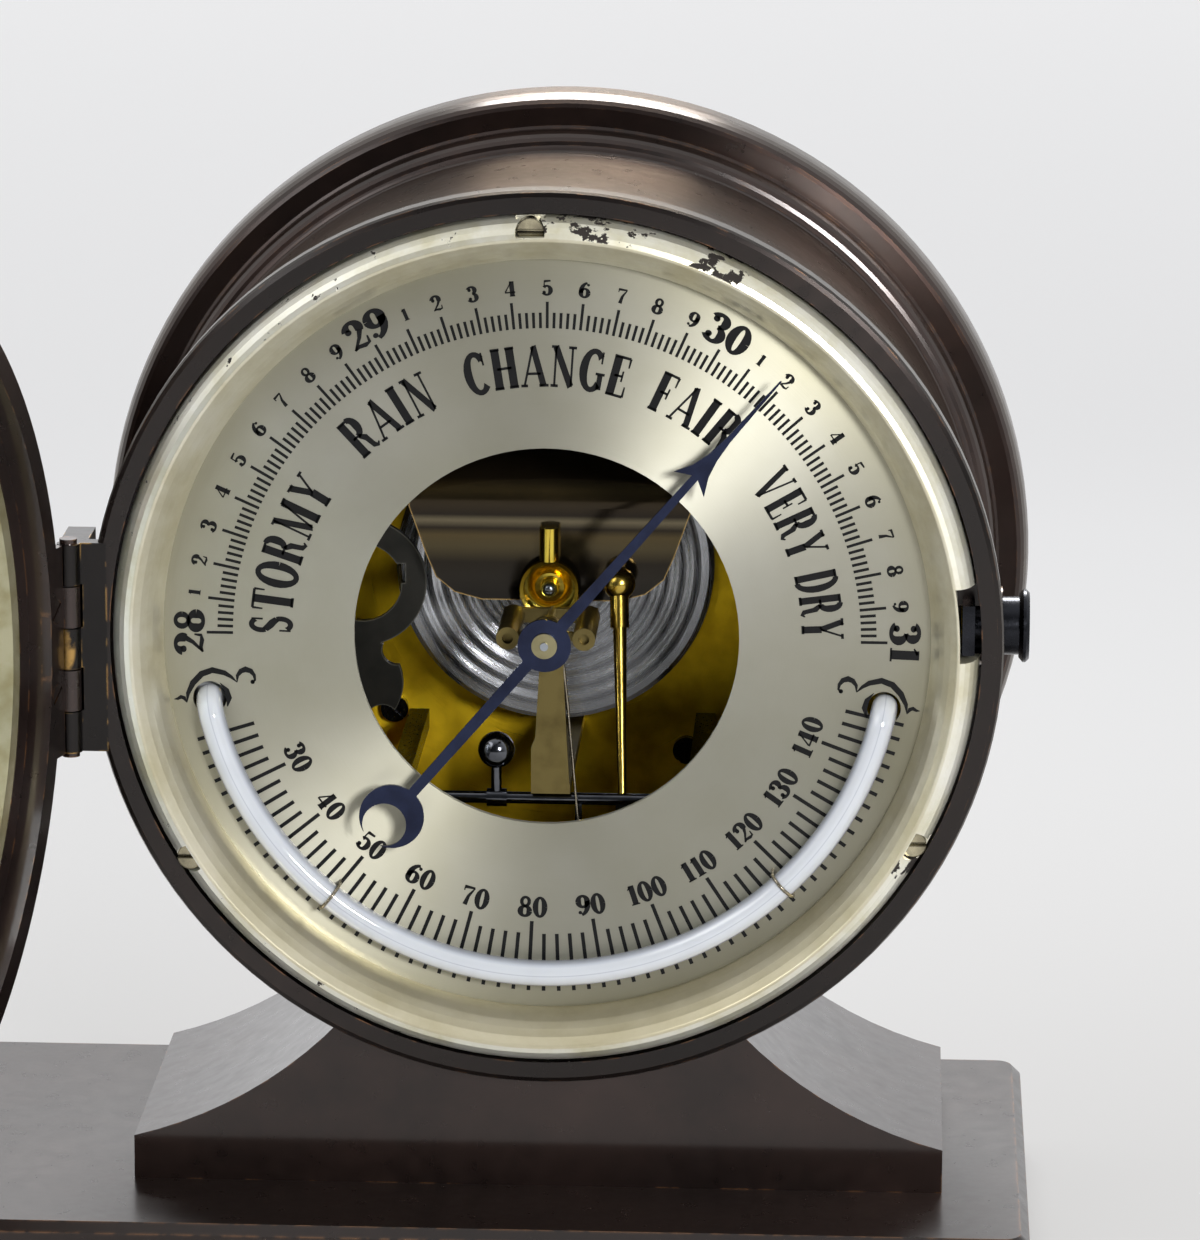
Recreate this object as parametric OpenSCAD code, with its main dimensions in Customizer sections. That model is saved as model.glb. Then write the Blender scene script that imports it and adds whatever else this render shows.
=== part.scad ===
// Desk set of two turned bronze instruments on one base: a spring clock at the left and an
// aneroid barometer with a dial thermometer at the right, each behind a hinged glazed door.
// Millimetres. X runs to the right, Y away from the viewer and Z up. The origin is the middle
// of the felt's underside, which the set stands on.
// Inside an instrument, depth counts away from the viewer from the front lip of its
// reflector ring, and X and Z count from the dial's axis.

/* [Set] */
// Distance between the two dial axes
spacing = 190; // [180:1:220]
// Angle at which the barometer's door stands open
open_angle = 106; // [95:1:112]

/* [Base] */
// Depth of the base plate, front to back
base_d = 91; // [88:1:110]
// Thickness of the base plate
base_t = 12; // [10:0.5:20]
// Overhang of the base plate beyond the pedestals' outer sides
base_side = 12.9; // [8:0.1:30]
// Radius of the base plate's corners
base_corner = 4; // [2.5:0.5:10]
// Width of the bevel round the base plate's top edge
base_bevel = 1.4; // [0.5:0.1:2.4]
// Distance from the base plate's front edge back to the reflector rings' lips
base_front = 13; // [11:0.5:14]
// Thickness of the felt under the base
felt_t = 1.5; // [1:0.5:3]

/* [Pedestals] */
// Width of a pedestal's foot
pedestal_w = 121.4; // [112:0.2:126]
// Depth of a pedestal, front to back
pedestal_d = 52.5; // [48:0.5:54]
// Height of the foot's upright edge
foot_h = 6.7; // [5:0.1:9]
// Radius of the hollow sides that sweep up to the case
flank_r = 64; // [62:0.5:70]
// Height of the dial axis above the base plate
axis_rise = 84.9; // [84:0.1:90]
// Distance of each dial axis outboard of its pedestal's middle
case_offset = 1.2; // [0:0.1:2]

/* [Cases] */
// Radius of the dial that shows inside the reflector ring
dial_r = 56.5; // [55.5:0.1:57]
// Width of the reflector ring's bevel, from the dial out to the lip
bevel_w = 3.7; // [3.2:0.1:4]
// Width of the flat lip
lip_w = 0.45; // [0.4:0.05:0.6]
// Width of the reflector ring's rounded outer flank
flank_w = 3.05; // [2.9:0.05:3.2]
// Wall of the case's front rim
rim_wall = 3.25; // [2.8:0.05:3.6]
// Step from the case's rim in to its barrel
barrel_step = 3.8; // [3.6:0.1:4]
// Wall of the case's barrel
barrel_wall = 3.1; // [2.6:0.1:3.2]
// Radius of the rear flange
flange_r = 71.9; // [71:0.1:74]
// Depth of the case, from the lip to the back
case_d = 75; // [74:0.5:82]

/* [Doors] */
// Thickness of the glass
glass_t = 2.2; // [1.8:0.1:2.5]
// Radius of the moulded bead round the door
bead_r = 72; // [71:0.1:72.8]
// Height of the hinge
hinge_h = 31.4; // [26:0.2:36]
// Radius of the hinge's barrel
knuckle_r = 1.7; // [1.5:0.05:1.8]
// Radius of the hinge pin
hinge_pin_r = 0.8; // [0.6:0.05:1]
// Radius of the latch button's shank
shank_r = 4.3; // [3.6:0.1:4.6]
// Travel of the latch button
latch_travel = 1; // [0.7:0.1:1]

/* [Barometer] */
// Radius of the hole in the dial that shows the movement
window_r = 28.36; // [26:0.1:30]
// Distance of the thermometer tube's middle inside the dial's edge
tube_inset = 5.8; // [5:0.1:6.5]
// Radius of the thermometer tube
tube_r = 1.95; // [1.5:0.05:2.1]
// Angle of the pressure hand, counted anticlockwise from 3 o'clock
hand_angle = 49.4; // [30:0.2:70]
// Length of the pressure hand from its hub to its point
hand_reach = 52.5; // [50:0.5:54]
// Radius of the aneroid capsule
capsule_r = 24.35; // [22:0.05:24.6]
// Radius of the movement's base plate
plate_r = 57; // [54:0.5:58]

/* [Clock] */
// Radius of the clock's movement plates
clock_plate_r = 46; // [44:0.5:54]
// Hour that the hands show
clock_hour = 10; // [0:1:11]
// Minute that the hands show
clock_minute = 9; // [0:1:59]
// Tooth size of the wheels: pitch diameter over the number of teeth
tooth_module = 0.5; // [0.46:0.01:0.52]

/* [Hidden] */
$fn = 96;
slip = 0.05;                      // running clearance round a shaft, pin or shank
gap = 0.15;                       // clearance between parts that close on each other
cut = 1;                          // how far a cutting solid runs past what it cuts

base_w = spacing + pedestal_w + 2 * (base_side - case_offset);
base_top = felt_t + base_t;
axis_z = base_top + axis_rise;
lip_y = base_front - base_d / 2;
felt_inset = 2;

lip_r = dial_r + bevel_w;
ring_r = lip_r + lip_w + flank_w;
rim_bore = ring_r + gap;
rim_r = rim_bore + rim_wall;
barrel_r = rim_r - barrel_step;
bore_r = barrel_r - barrel_wall;
rim_front = 3.4;
rim_back = 8;
rim_chamfer = 0.9;
floor_y = 6.7;                    // depth of the rim's floor, which carries the ring's foot
dial_y = 8;
dial_t = 1;
shoulder_y = dial_y + dial_t;
shoulder_t = 2.5;
shoulder_w = 1.7;
cove_y = case_d - 23;
flange_y = case_d - 10.4;
cover_r = 66;
cover_t = 2.5;
cover_y = case_d - cover_t;
cover_screw_r = 63.6;
pedestal_y = rim_back + 1;

door_bore = ring_r - 0.1;
ring_screw_r = bore_r + 1.3;
ring_screw_angles = [92, 212, 332];
ring_head_y = 1.9;
ring_head_t = 2.6;
ring_head_r = door_bore - gap - ring_screw_r;
ring_shank_r = 1;

door_rear = rim_front - gap;
ledge_y = -0.4;
glass_r = lip_r + 0.1;
glass_front = -4.9;
door_front = -9;
door_lip_r = dial_r + 0.5;
glass_ring_y = glass_front + glass_t;
hinge_x = -(rim_r + 2.7);
hinge_y = (rim_front + door_rear) / 2;
hinge_z = -1.5;
knuckles = 5;
knuckle_h = hinge_h / knuckles;
leaf_t = 1.65;
case_leaf_t = 2.75;
wrap_d = 11;                      // depth of the case leaf's outer part, beside the rim
leaf_edge = -(ring_r - 0.25);
leaf_screw_z = [hinge_z + 6.3, hinge_z - 6.3];
leaf_screw_x = leaf_edge - 2;
leaf_head_r = 1.75;
leaf_shank_r = 0.8;

latch_y = 14;
latch_z = 1.5;
bolt_x = lip_r + lip_w + 0.3;
bolt_t = 1.8;
bolt_z = [-1.7, 3.7, 5.7];        // foot of the bolt, top of its stem and its top, from the shank's axis
notch_z = [-2.6, 8.4];            // foot and top of the slot in the ring
under_lip_y = 1.2;                // the bolt slides under the lip from here down
boss_x = rim_r - 0.2;
head_x = boss_x + latch_travel + 1.5;
head_t = 1.5;

tube_arc_r = dial_r - tube_inset;
tube_y = dial_y - tube_r - 0.3;
tube_bend = 3;
tube_end = 191.3;                 // angle of the hole where the tube's left end enters the dial
tube_bend_angle = tube_bend / tube_arc_r * 180 / PI;
clip_angles = [231, 314];
clip_wire = 0.25;

hand_y = 2.6;
hand_t = 0.5;
hub_r = 3.93;
collet_r = 1.88;
arbor_r = 0.6;
axle = [-0.8, 2.2];               // place of the capsule's axis from the dial's
capsule_y = 46;
capsule_t = 8;
plate_y = 55;
plate_t = 2;
leaf_y = 32;
spring_t = 1.6;
spring_bend = 14.5;
spring_top = 14.25;
bridge_y = 10.5;
bridge_t = 1.2;
rocker_y = 14;
rocker_z = -26;
rocker_r = 0.9;
rocker_post_x = 22.2;
pillar_angles = [83, 221, 304];
pillar_arc_r = 34.5;
eye = [9.8, 28, 3.7];
lever_foot = [11, 16, -27.8];
chain_top = [1.55, 13.5, 0];
chain_joint = [2.95, 13.5, -12.3];
chain_foot = [4.55, 12.3, -28.8];

front_plate_y = 24;
back_plate_y = 50;
clock_pillar_at = [[-32, 25], [32, 25], [-34, -22], [34, -22]];
centre_teeth = 48;
third_teeth = 48;
pinion_teeth = 8;
escape_pinion_teeth = 6;
escape_teeth = 15;
barrel_teeth = 60;
centre_pinion_teeth = 12;
cannon_teeth = 15;
minute_wheel_teeth = 45;
minute_pinion_teeth = 12;
hour_wheel_teeth = 48;
mesh_gap = 0.15;
centre_r = 1;
cannon_r = 1.8;
pipe_r = 2.6;
third_wheel_y = 35;
escape_wheel_y = 40;
centre_wheel_y = back_plate_y - 5.5;
balance_y = back_plate_y - 4;
barrel_wheel_y = front_plate_y + 4;
minute_wheel_y = front_plate_y - 5;
hour_wheel_y = minute_wheel_y - 4;
minute_hand_y = 3.2;
hour_hand_y = 5.2;
clock_hand_t = 0.6;

function pitch_r(teeth) = tooth_module * teeth / 2;
function polar(r, a) = [r * cos(a), r * sin(a)];
barrel_at = polar(pitch_r(barrel_teeth) + pitch_r(centre_pinion_teeth) + mesh_gap, 225);
third_at = polar(pitch_r(centre_teeth) + pitch_r(pinion_teeth) + mesh_gap, 40);
escape_at = third_at + polar(pitch_r(third_teeth) + pitch_r(escape_pinion_teeth) + mesh_gap, 135);
balance_at = escape_at + [-17, -4];
pallet_at = escape_at + (balance_at - escape_at) * 0.53;
minute_wheel_at = polar(pitch_r(cannon_teeth) + pitch_r(minute_wheel_teeth) + mesh_gap, -20);

// Places and ways of drawing

module at_barometer() translate([spacing / 2, lip_y, axis_z]) children();
module at_clock() translate([-spacing / 2, lip_y, axis_z]) children();
module at_both() {
    at_barometer() children();
    at_clock() children();
}
// An outline seen from the front, thickened away from the viewer from depth y
module facing(y, t) translate([0, y + t, 0]) rotate([90, 0, 0]) linear_extrude(t) children();
// A profile of [radius, depth] points turned about the dial's axis
module turned() rotate([-90, 0, 0]) rotate_extrude() children();
module bar_y(r, y, length) translate([0, y, 0]) rotate([-90, 0, 0]) cylinder(r = r, h = length);
module bar_x(r, x, length) translate([x, 0, 0]) rotate([0, 90, 0]) cylinder(r = r, h = length);
module at(p) translate([p[0], 0, p[1]]) children();
// A straight rod from point a to point b, of radius ra at a and rb at b
module rod(a, b, ra, rb) {
    d = b - a;
    translate(a)
        rotate([0, atan2(norm([d[0], d[1]]), d[2]), atan2(d[1], d[0])])
            cylinder(r1 = ra, r2 = rb, h = norm(d));
}
// A cheese-head screw along depth, its head at the front and its slot across the head
module slotted_screw(head_r, head_t, shank_r, length, slot_angle = 0) {
    slot_w = head_r * 0.24;
    difference() {
        bar_y(head_r, 0, head_t);
        rotate([0, slot_angle, 0])
            translate([-head_r - cut, -cut, -slot_w / 2])
                cube([2 * (head_r + cut), cut + head_t * 0.35, slot_w]);
    }
    bar_y(shank_r, head_t, length);
}

// Stand

module base() color("#5a4334") difference() {
    translate([0, 0, felt_t]) hull() {
        for (x = [-1, 1], y = [-1, 1])
            translate([x * (base_w / 2 - base_corner), y * (base_d / 2 - base_corner), 0]) {
                cylinder(r = base_corner, h = base_t - base_bevel, $fn = 32);
                cylinder(r = base_corner - base_bevel, h = base_t, $fn = 32);
            }
    }
    pedestal_screw_places() {
        translate([0, 0, felt_t - cut]) cylinder(r = screw_r + slip, h = base_t + 2 * cut);
        translate([0, 0, felt_t - cut]) cylinder(r = 4.6, h = cut + base_screw_head + 0.6);
    }
}
screw_r = 2.5;
base_screw_head = 3;
base_screw_length = 10;

module base_felt() color("#3f4a3c") linear_extrude(felt_t) {
    w = base_w - 2 * felt_inset;
    d = base_d - 2 * felt_inset;
    square([w - 2 * base_corner, d], center = true);
    square([w, d - 2 * base_corner], center = true);
    for (x = [-1, 1], y = [-1, 1])
        translate([x * (w / 2 - base_corner), y * (d / 2 - base_corner)]) circle(base_corner);
}

pedestal_screw_x = 38;
module pedestal_screw_places()
    for (side = [-1, 1], x = [-1, 1])
        translate([side * (spacing / 2 - case_offset) + x * pedestal_screw_x,
                   lip_y + pedestal_y + pedestal_d / 2, 0])
            children();

module pedestal_screws() color("#8c8578")
    pedestal_screw_places() translate([0, 0, felt_t + 0.6]) {
        cylinder(r = 4.2, h = base_screw_head);
        cylinder(r = screw_r, h = base_t - 0.6 + base_screw_length);
    }

case_screw_depths = [pedestal_y + 13, pedestal_y + 33];
case_screw_r = 2;
case_head_r = 4;
case_head_drop = 9;               // length of screw between its head and the barrel
module pedestal(side) translate([side * spacing / 2, lip_y, axis_z]) difference() {
    translate([-side * case_offset - pedestal_w / 2, pedestal_y, -axis_rise])
        cube([pedestal_w, pedestal_d, axis_rise - barrel_r / 2]);
    for (s = [-1, 1])
        translate([-side * case_offset + s * (pedestal_w / 2 + flank_in), 0,
                   foot_h - axis_rise + sqrt(flank_r * flank_r - flank_in * flank_in)])
            bar_y(flank_r, 0, pedestal_y + pedestal_d + cut);
    case_clearance();
    translate([-side * case_offset, pedestal_y + pedestal_d / 2, -axis_rise - cut])
        for (x = [-1, 1])
            translate([x * pedestal_screw_x, 0, 0])
                cylinder(r = screw_r, h = cut + base_screw_length + 0.3);
    for (y = case_screw_depths)
        translate([0, y, 0]) {
            translate([0, 0, -axis_rise - cut])
                cylinder(r = case_head_r + 0.3, h = axis_rise + cut - barrel_r - case_head_drop);
            translate([0, 0, -axis_rise]) cylinder(r = case_screw_r + slip, h = axis_rise);
        }
}
flank_in = 15.8;                  // distance of a hollow's centre outside the foot
module case_clearance() turned()
    polygon([[0, 0], [barrel_r + slip, 0], [barrel_r + slip, cove_y], [rim_r + 0.6, flange_y - 3],
             [rim_r + 0.6, case_d], [0, case_d]]);
module pedestals() color("#4a362c") {
    pedestal(-1);
    pedestal(1);
}

module case_screws() color("#8c8578") at_both()
    for (y = case_screw_depths)
        translate([0, y, -barrel_r - case_head_drop]) {
            translate([0, 0, -3]) cylinder(r = case_head_r, h = 3);
            cylinder(r = case_screw_r, h = case_head_drop + barrel_wall + boss_h - 0.5);
        }
boss_h = 4;

// Cases, alike on both instruments

module case_shell() difference() {
    union() {
        turned() polygon(concat(
            [[rim_r - rim_chamfer, rim_front], [rim_r - rim_chamfer * 0.3, rim_front + 0.27],
             [rim_r, rim_front + rim_chamfer], [rim_r, rim_back - 0.4], [rim_r - 0.4, rim_back],
             [barrel_r, rim_back], [barrel_r, cove_y]],
            [for (a = [15:15:75]) [cove_out - (cove_out - barrel_r) * cos(a),
                                   cove_y + (ogee_y - cove_y) * sin(a)]],
            [[cove_out, ogee_y]],
            [for (a = [0:18:90]) [cove_out + 0.3 + (rim_r - 0.6 - cove_out) * sin(a),
                                  ogee_y + 0.3 + (groove_y - ogee_y - 0.3) * (1 - cos(a))]],
            [[rim_r - 0.3, groove_y + 1], [rim_r + 0.1, flange_y],
             [flange_r - 1.9, flange_y - 0.3]],
            [for (a = [18:18:90]) [flange_r - 1.9 + 1.9 * sin(a),
                                   flange_y - 0.3 + 5.5 * (1 - cos(a))]],
            [[flange_r, case_d - 1.4], [flange_r - 0.5, case_d - 0.3], [flange_r - 1.2, case_d],
             [cover_r + gap, case_d], [cover_r + gap, cover_y], [bore_r, cover_y],
             [bore_r, shoulder_y + shoulder_t], [bore_r - shoulder_w, shoulder_y + shoulder_t],
             [bore_r - shoulder_w, shoulder_y], [bore_r, shoulder_y], [bore_r, floor_y],
             [rim_bore, floor_y], [rim_bore, rim_front]]));
        // Boss that guides the latch button's shank
        translate([0, latch_y, latch_z]) bar_x(shank_r + 1.5, bore_r + 0.6, boss_x - bore_r - 0.6);
        // Bosses that take the screws from the pedestal
        for (y = case_screw_depths)
            translate([0, y, -bore_r - 0.5]) cylinder(r = case_head_r, h = boss_h + 0.5);
    }
    translate([0, latch_y, latch_z]) bar_x(shank_r + slip, bolt_x + bolt_t, boss_x);
    latch_notch(floor_y - cut, latch_y + shank_r + 0.6, [-shank_r - 0.3, shank_r + 0.3]);
    for (y = case_screw_depths)
        translate([0, y, -barrel_r - cut])
            cylinder(r = case_screw_r, h = cut + barrel_wall + boss_h - 0.5);
    for (a = ring_screw_angles) rotate([0, -a, 0])
        translate([ring_screw_r, floor_y, 0]) bar_y(ring_shank_r, -cut, ring_screw_end - floor_y + cut);
    for (a = cover_screw_angles) rotate([0, -a, 0])
        translate([cover_screw_r, 0, 0]) bar_y(cover_shank_r, cover_y - cover_screw_length, case_d);
    case_leaf_pocket();
}
ogee_y = case_d - 15.6;
groove_y = case_d - 11.7;
cove_out = barrel_r + 1.3;
ring_screw_end = 16;
cover_screw_angles = [45, 135, 225, 315];
cover_shank_r = 1;
cover_screw_length = 5;
// Slot at 3 o'clock for the latch's bolt and the door's catch
module latch_notch(y0, y1, z)
    translate([bolt_x - latch_travel - gap, y0, latch_z + z[0]])
        cube([rim_bore + 1.65 - bolt_x + latch_travel, y1 - y0, z[1] - z[0]]);
module case_leaf_pocket()
    translate([hinge_x - knuckle_r - cut, rim_front - cut, hinge_z - hinge_h / 2])
        cube([case_leaf_w + knuckle_r + cut, cut + 0.05 + case_leaf_t, hinge_h]);
case_leaf_w = 5.5;
module barometer_case() color("#4a362c") at_barometer() case_shell();
module clock_case() color("#4a362c") at_clock() case_shell();

module back_cover(centre_hole) difference() {
    turned() polygon([[centre_hole, cover_y], [cover_r, cover_y], [cover_r, case_d],
                      [cover_r - 8, case_d], [cover_r - 9, case_d - 0.5], [centre_hole, case_d - 0.5]]);
    for (a = cover_screw_angles) rotate([0, -a, 0])
        translate([cover_screw_r, 0, 0]) bar_y(cover_shank_r + slip, cover_y - cut, cover_t + 2 * cut);
}
// The barometer's cover has a hole for the adjusting screw, the clock's one for the regulator
adjuster_r = 3;
module barometer_back_cover() color("#4a362c") at_barometer() back_cover(adjuster_r);
module clock_back_cover() color("#4a362c") at_clock() back_cover(adjuster_r - 1);

module cover_screws() color("#8c8578") at_both()
    for (a = cover_screw_angles) rotate([0, -a, 0])
        translate([cover_screw_r, case_d, 0]) mirror([0, 1, 0])
            translate([0, -cover_head_t, 0])
                slotted_screw(2, cover_head_t, cover_shank_r, cover_t + cover_screw_length - 0.5, a);
cover_head_t = 1.2;

module reflector_ring() difference() {
    turned() polygon(concat(
        [[dial_r, dial_y], [dial_r, floor_y + 0.3]],
        [for (t = [0.2:0.2:0.8]) [dial_r + bevel_w * t - 0.35 * sin(180 * t),
                                  (floor_y + 0.3) * (1 - t) - 0.35 * sin(180 * t)]],
        [[lip_r, 0.1], [lip_r + 0.15, 0]],
        [for (a = [0:15:90]) [lip_r + lip_w + flank_w * sin(a), floor_y * (1 - cos(a))]],
        [[bore_r - 0.1, floor_y], [bore_r - 0.1, dial_y]]));
    // Slot for the latch: open outside the lip, and under the lip as far as the bolt travels
    difference() {
        latch_notch(-cut, dial_y + cut, notch_z);
        bar_y(lip_r + lip_w, -2 * cut, dial_y + 4 * cut);
    }
    latch_notch(under_lip_y, dial_y + cut, [bolt_z[0] - gap, bolt_z[2] + gap]);
    // Pockets for the screws, sunk in the flank under the lip
    for (a = ring_screw_angles) rotate([0, -a, 0]) translate([ring_screw_r, 0, 0]) {
        bar_y(ring_head_r + 0.2, ring_head_y - 0.4, ring_head_t + 0.4);
        bar_y(ring_shank_r + slip, ring_head_y, dial_y);
        translate([ring_r - 0.6 - ring_screw_r, ring_head_y - 2.5, -ring_head_r - 0.2])
            cube([ring_head_r + 1, ring_head_t + 2.5, 2 * ring_head_r + 0.4]);
        intersection() {
            bar_y(ring_head_r + 0.2, -cut, ring_head_y + cut);
            translate([lip_r + lip_w + 0.2 - ring_screw_r, -cut, -ring_head_r - 1])
                cube([ring_head_r + 2, ring_head_y + cut, 2 * ring_head_r + 2]);
        }
    }
}
module barometer_reflector_ring() color("#d8d4bf") at_barometer() reflector_ring();
module clock_reflector_ring() color("#d8d4bf") at_clock() reflector_ring();

module ring_screws() color("#c8c2ae") at_both()
    for (a = ring_screw_angles) rotate([0, -a, 0])
        translate([ring_screw_r, ring_head_y, 0]) rotate([0, a, 0])
            slotted_screw(ring_head_r, ring_head_t, ring_shank_r, ring_shank_l);
ring_shank_l = ring_screw_end - ring_head_y - ring_head_t - 0.5;

module dial_disc(hole) difference() {
    bar_y(bore_r - 0.1, dial_y, dial_t);
    bar_y(hole, dial_y - cut, dial_t + 2 * cut);
    latch_notch(dial_y - cut, dial_y + dial_t + cut, notch_z);
    for (a = ring_screw_angles) rotate([0, -a, 0])
        translate([ring_screw_r, 0, 0]) bar_y(ring_shank_r + slip, dial_y - cut, dial_t + 2 * cut);
}

// Hinges and doors

module at_hinge(z) translate([hinge_x, hinge_y, z]) children();
// The knuckles that belong to one leaf: every second one, from the first or from the second
module knuckles(first, r, over = 0)
    for (k = [first:2:knuckles - 1])
        at_hinge(hinge_z - hinge_h / 2 + k * knuckle_h - over) cylinder(r = r, h = knuckle_h + 2 * over);
module case_leaf() difference() {
    union() {
        translate([hinge_x, rim_front + 0.05, hinge_z - hinge_h / 2])
            cube([case_leaf_w, case_leaf_t, hinge_h]);
        translate([hinge_x - 1.4, rim_front + 0.05, hinge_z - hinge_h / 2])
            cube([-rim_r - slip - hinge_x + 1.4, wrap_d, hinge_h]);
        knuckles(0, knuckle_r);
    }
    knuckles(1, knuckle_r + 0.3, 0.1);
    at_hinge(hinge_z - hinge_h / 2 - cut) cylinder(r = hinge_pin_r, h = hinge_h + 2 * cut);
}
module door_leaf() difference() {
    union() {
        door_leaf_plate();
        intersection() {
            knuckles(1, knuckle_r);
            at_hinge(hinge_z - hinge_h / 2) cylinder(r = knuckle_r, h = hinge_h);
        }
    }
    knuckles(0, knuckle_r + 0.3, 0.1);
    at_hinge(hinge_z - hinge_h / 2 - cut) cylinder(r = hinge_pin_r + slip, h = hinge_h + 2 * cut);
    for (z = leaf_screw_z)
        translate([leaf_screw_x, 0, z]) {
            bar_y(leaf_shank_r + slip, door_rear - leaf_t - cut, leaf_t + 2 * cut);
            bar_y(leaf_head_r + slip, door_rear - 0.9, 0.9 + cut);
        }
}
module door_leaf_plate()
    translate([hinge_x, door_rear - leaf_t, hinge_z - hinge_h / 2])
        cube([leaf_edge - hinge_x, leaf_t, hinge_h]);
module barometer_hinge_leaf() color("#4a362c") at_barometer() case_leaf();
module clock_hinge_leaf() color("#4a362c") at_clock() case_leaf();
module hinge_pins() color("#b58a3c") at_both() at_hinge(hinge_z) {
    translate([0, 0, -hinge_h / 2]) cylinder(r = hinge_pin_r, h = hinge_h);
    for (s = [-1, 1])
        translate([0, 0, s * (hinge_h / 2 + 0.35) - 0.35]) cylinder(r = hinge_pin_r + 0.5, h = 0.7);
}

// Turns what belongs to the barometer's door from its closed place to its open one
module door_swing()
    at_barometer() translate([hinge_x, hinge_y, 0]) rotate([0, 0, -open_angle])
        translate([-hinge_x, -hinge_y, 0]) children();

module door_frame() {
    difference() {
        turned() polygon(concat(
            [[door_bore, door_rear], [rim_r, door_rear], [rim_r, door_rear - 1]],
            [for (a = [10:20:170]) [bead_r - bead_half * (1 - sin(a)) , bead_y + bead_half * cos(a)]],
            [[cove_top_r, cove_top_y]],
            [for (a = [15:15:90]) [cove_top_r - 5.4 * sin(a), cove_top_y + cove_depth * (1 - cos(a))]],
            [[door_lip_r + 2.2, door_front], [door_lip_r + 0.6, door_front + 0.2],
             [door_lip_r, door_front + 1], [door_lip_r, glass_front], [glass_r + 0.1, glass_front],
             [glass_r + 0.1, ledge_y], [door_bore, ledge_y]]));
        door_leaf_plate();
        knuckles(0, knuckle_r + 0.3, 0.1);
        for (z = leaf_screw_z)
            translate([leaf_screw_x, 0, z]) bar_y(leaf_shank_r, door_rear - leaf_screw_end, leaf_screw_end);
    }
    // Catch that the latch's bolt bears on
    translate([catch_x, ledge_y - 0.5, latch_z - 0.5])
        cube([catch_t, floor_y - 0.9 - ledge_y + 0.5, 3]);
}
bead_half = 2.6;
bead_y = -3.6;
cove_top_r = bead_r - bead_half - 0.6;
cove_top_y = bead_y - bead_half - 0.2;
cove_depth = door_front + 0.9 - bead_y + bead_half;
leaf_screw_end = 5;
catch_x = bolt_x + bolt_t + 0.25;
catch_t = 0.5;
module barometer_door() color("#4a362c") door_swing() door_frame();
module clock_door() color("#4a362c") at_clock() door_frame();

module glass_disc() turned()
    polygon([[0, glass_front], [glass_r, glass_front], [glass_r, glass_front + glass_t],
             [0, glass_front + glass_t]]);
module barometer_glass() color("#cfe0e2", 0.35) door_swing() glass_disc();
module clock_glass() color("#cfe0e2", 0.35) at_clock() glass_disc();

// Plain ring that holds the glass in from behind
module glass_ring() turned()
    polygon([[door_lip_r + 0.3, glass_ring_y], [glass_r + 0.1, glass_ring_y],
             [glass_r + 0.1, ledge_y - 0.1], [door_lip_r + 1.1, ledge_y - 0.1]]);
module barometer_glass_ring() color("#d8d4bf") door_swing() glass_ring();
module clock_glass_ring() color("#d8d4bf") at_clock() glass_ring();

module barometer_door_leaf() color("#4a362c") door_swing() door_leaf();
module clock_door_leaf() color("#4a362c") at_clock() door_leaf();
module leaf_screws()
    for (z = leaf_screw_z)
        translate([leaf_screw_x, door_rear, z]) mirror([0, 1, 0])
            slotted_screw(leaf_head_r, 0.9, leaf_shank_r, leaf_screw_end - 1.1, 35);
module barometer_leaf_screws() color("#4a362c") door_swing() leaf_screws();
module clock_leaf_screws() color("#4a362c") at_clock() leaf_screws();

// Push button at 3 o'clock, with the bolt that its shank carries inside the case
module latch_button() translate([0, latch_y, latch_z]) {
    bar_x(shank_r, bolt_x + bolt_t, head_x - bolt_x - bolt_t);
    rotate([0, 90, 0]) rotate_extrude()
        polygon([[0, head_x], [shank_r + 0.4, head_x], [shank_r + 1.1, head_x + 0.6],
                 [shank_r + 1.1, head_x + head_t - 0.5], [shank_r + 0.6, head_x + head_t],
                 [0, head_x + head_t]]);
    translate([bolt_x, bolt_front - latch_y, bolt_z[0]])
        cube([bolt_t, latch_y - bolt_front + shank_r * 0.8, bolt_z[1] - bolt_z[0]]);
    translate([bolt_x, bolt_front - latch_y, bolt_z[0]])
        cube([bolt_t, floor_y - gap - bolt_front, bolt_z[2] - bolt_z[0]]);
}
bolt_front = under_lip_y + gap;
module barometer_latch_button() color("#2f2723") at_barometer() latch_button();
module clock_latch_button() color("#2f2723") at_clock() latch_button();

// Barometer: dial and thermometer

module barometer_dial() color("#b9b8ab") at_barometer() difference() {
    dial_disc(window_r);
    for (a = [tube_end, 540 - tube_end])
        at(polar(tube_arc_r, a)) bar_y(tube_r + 0.55, dial_y - cut, dial_t + 2 * cut);
}

module thermometer() color("#e9ece6") at_barometer() {
    translate([0, tube_y, 0]) rotate([90, 0, 0])
        rotate([0, 0, tube_end + tube_bend_angle])
            rotate_extrude(angle = 360 - 2 * (tube_end - 180) - 180 - 2 * tube_bend_angle)
                translate([tube_arc_r, 0]) circle(tube_r);
    for (s = [-1, 1]) {
        a = 270 + s * (270 - tube_end - tube_bend_angle);
        at(polar(tube_arc_r, a)) translate([0, tube_y + tube_bend, 0])
            rotate([0, -a, 0]) rotate([0, -s * 90, 0]) rotate([0, 0, -90]) rotate_extrude(angle = 90)
                translate([tube_bend, 0]) circle(tube_r);
        at(polar(tube_arc_r, a) + polar(tube_bend, a + s * 90))
            bar_y(tube_r - 0.2, tube_y + tube_bend, tube_leg);
    }
    at(polar(tube_arc_r, tube_end + tube_bend_angle) + polar(tube_bend, tube_end + tube_bend_angle - 90))
        translate([0, tube_y + tube_bend + tube_leg + 1, 0]) sphere(r = bulb_r);
}
tube_leg = 2.5;
bulb_r = 2.9;

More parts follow.
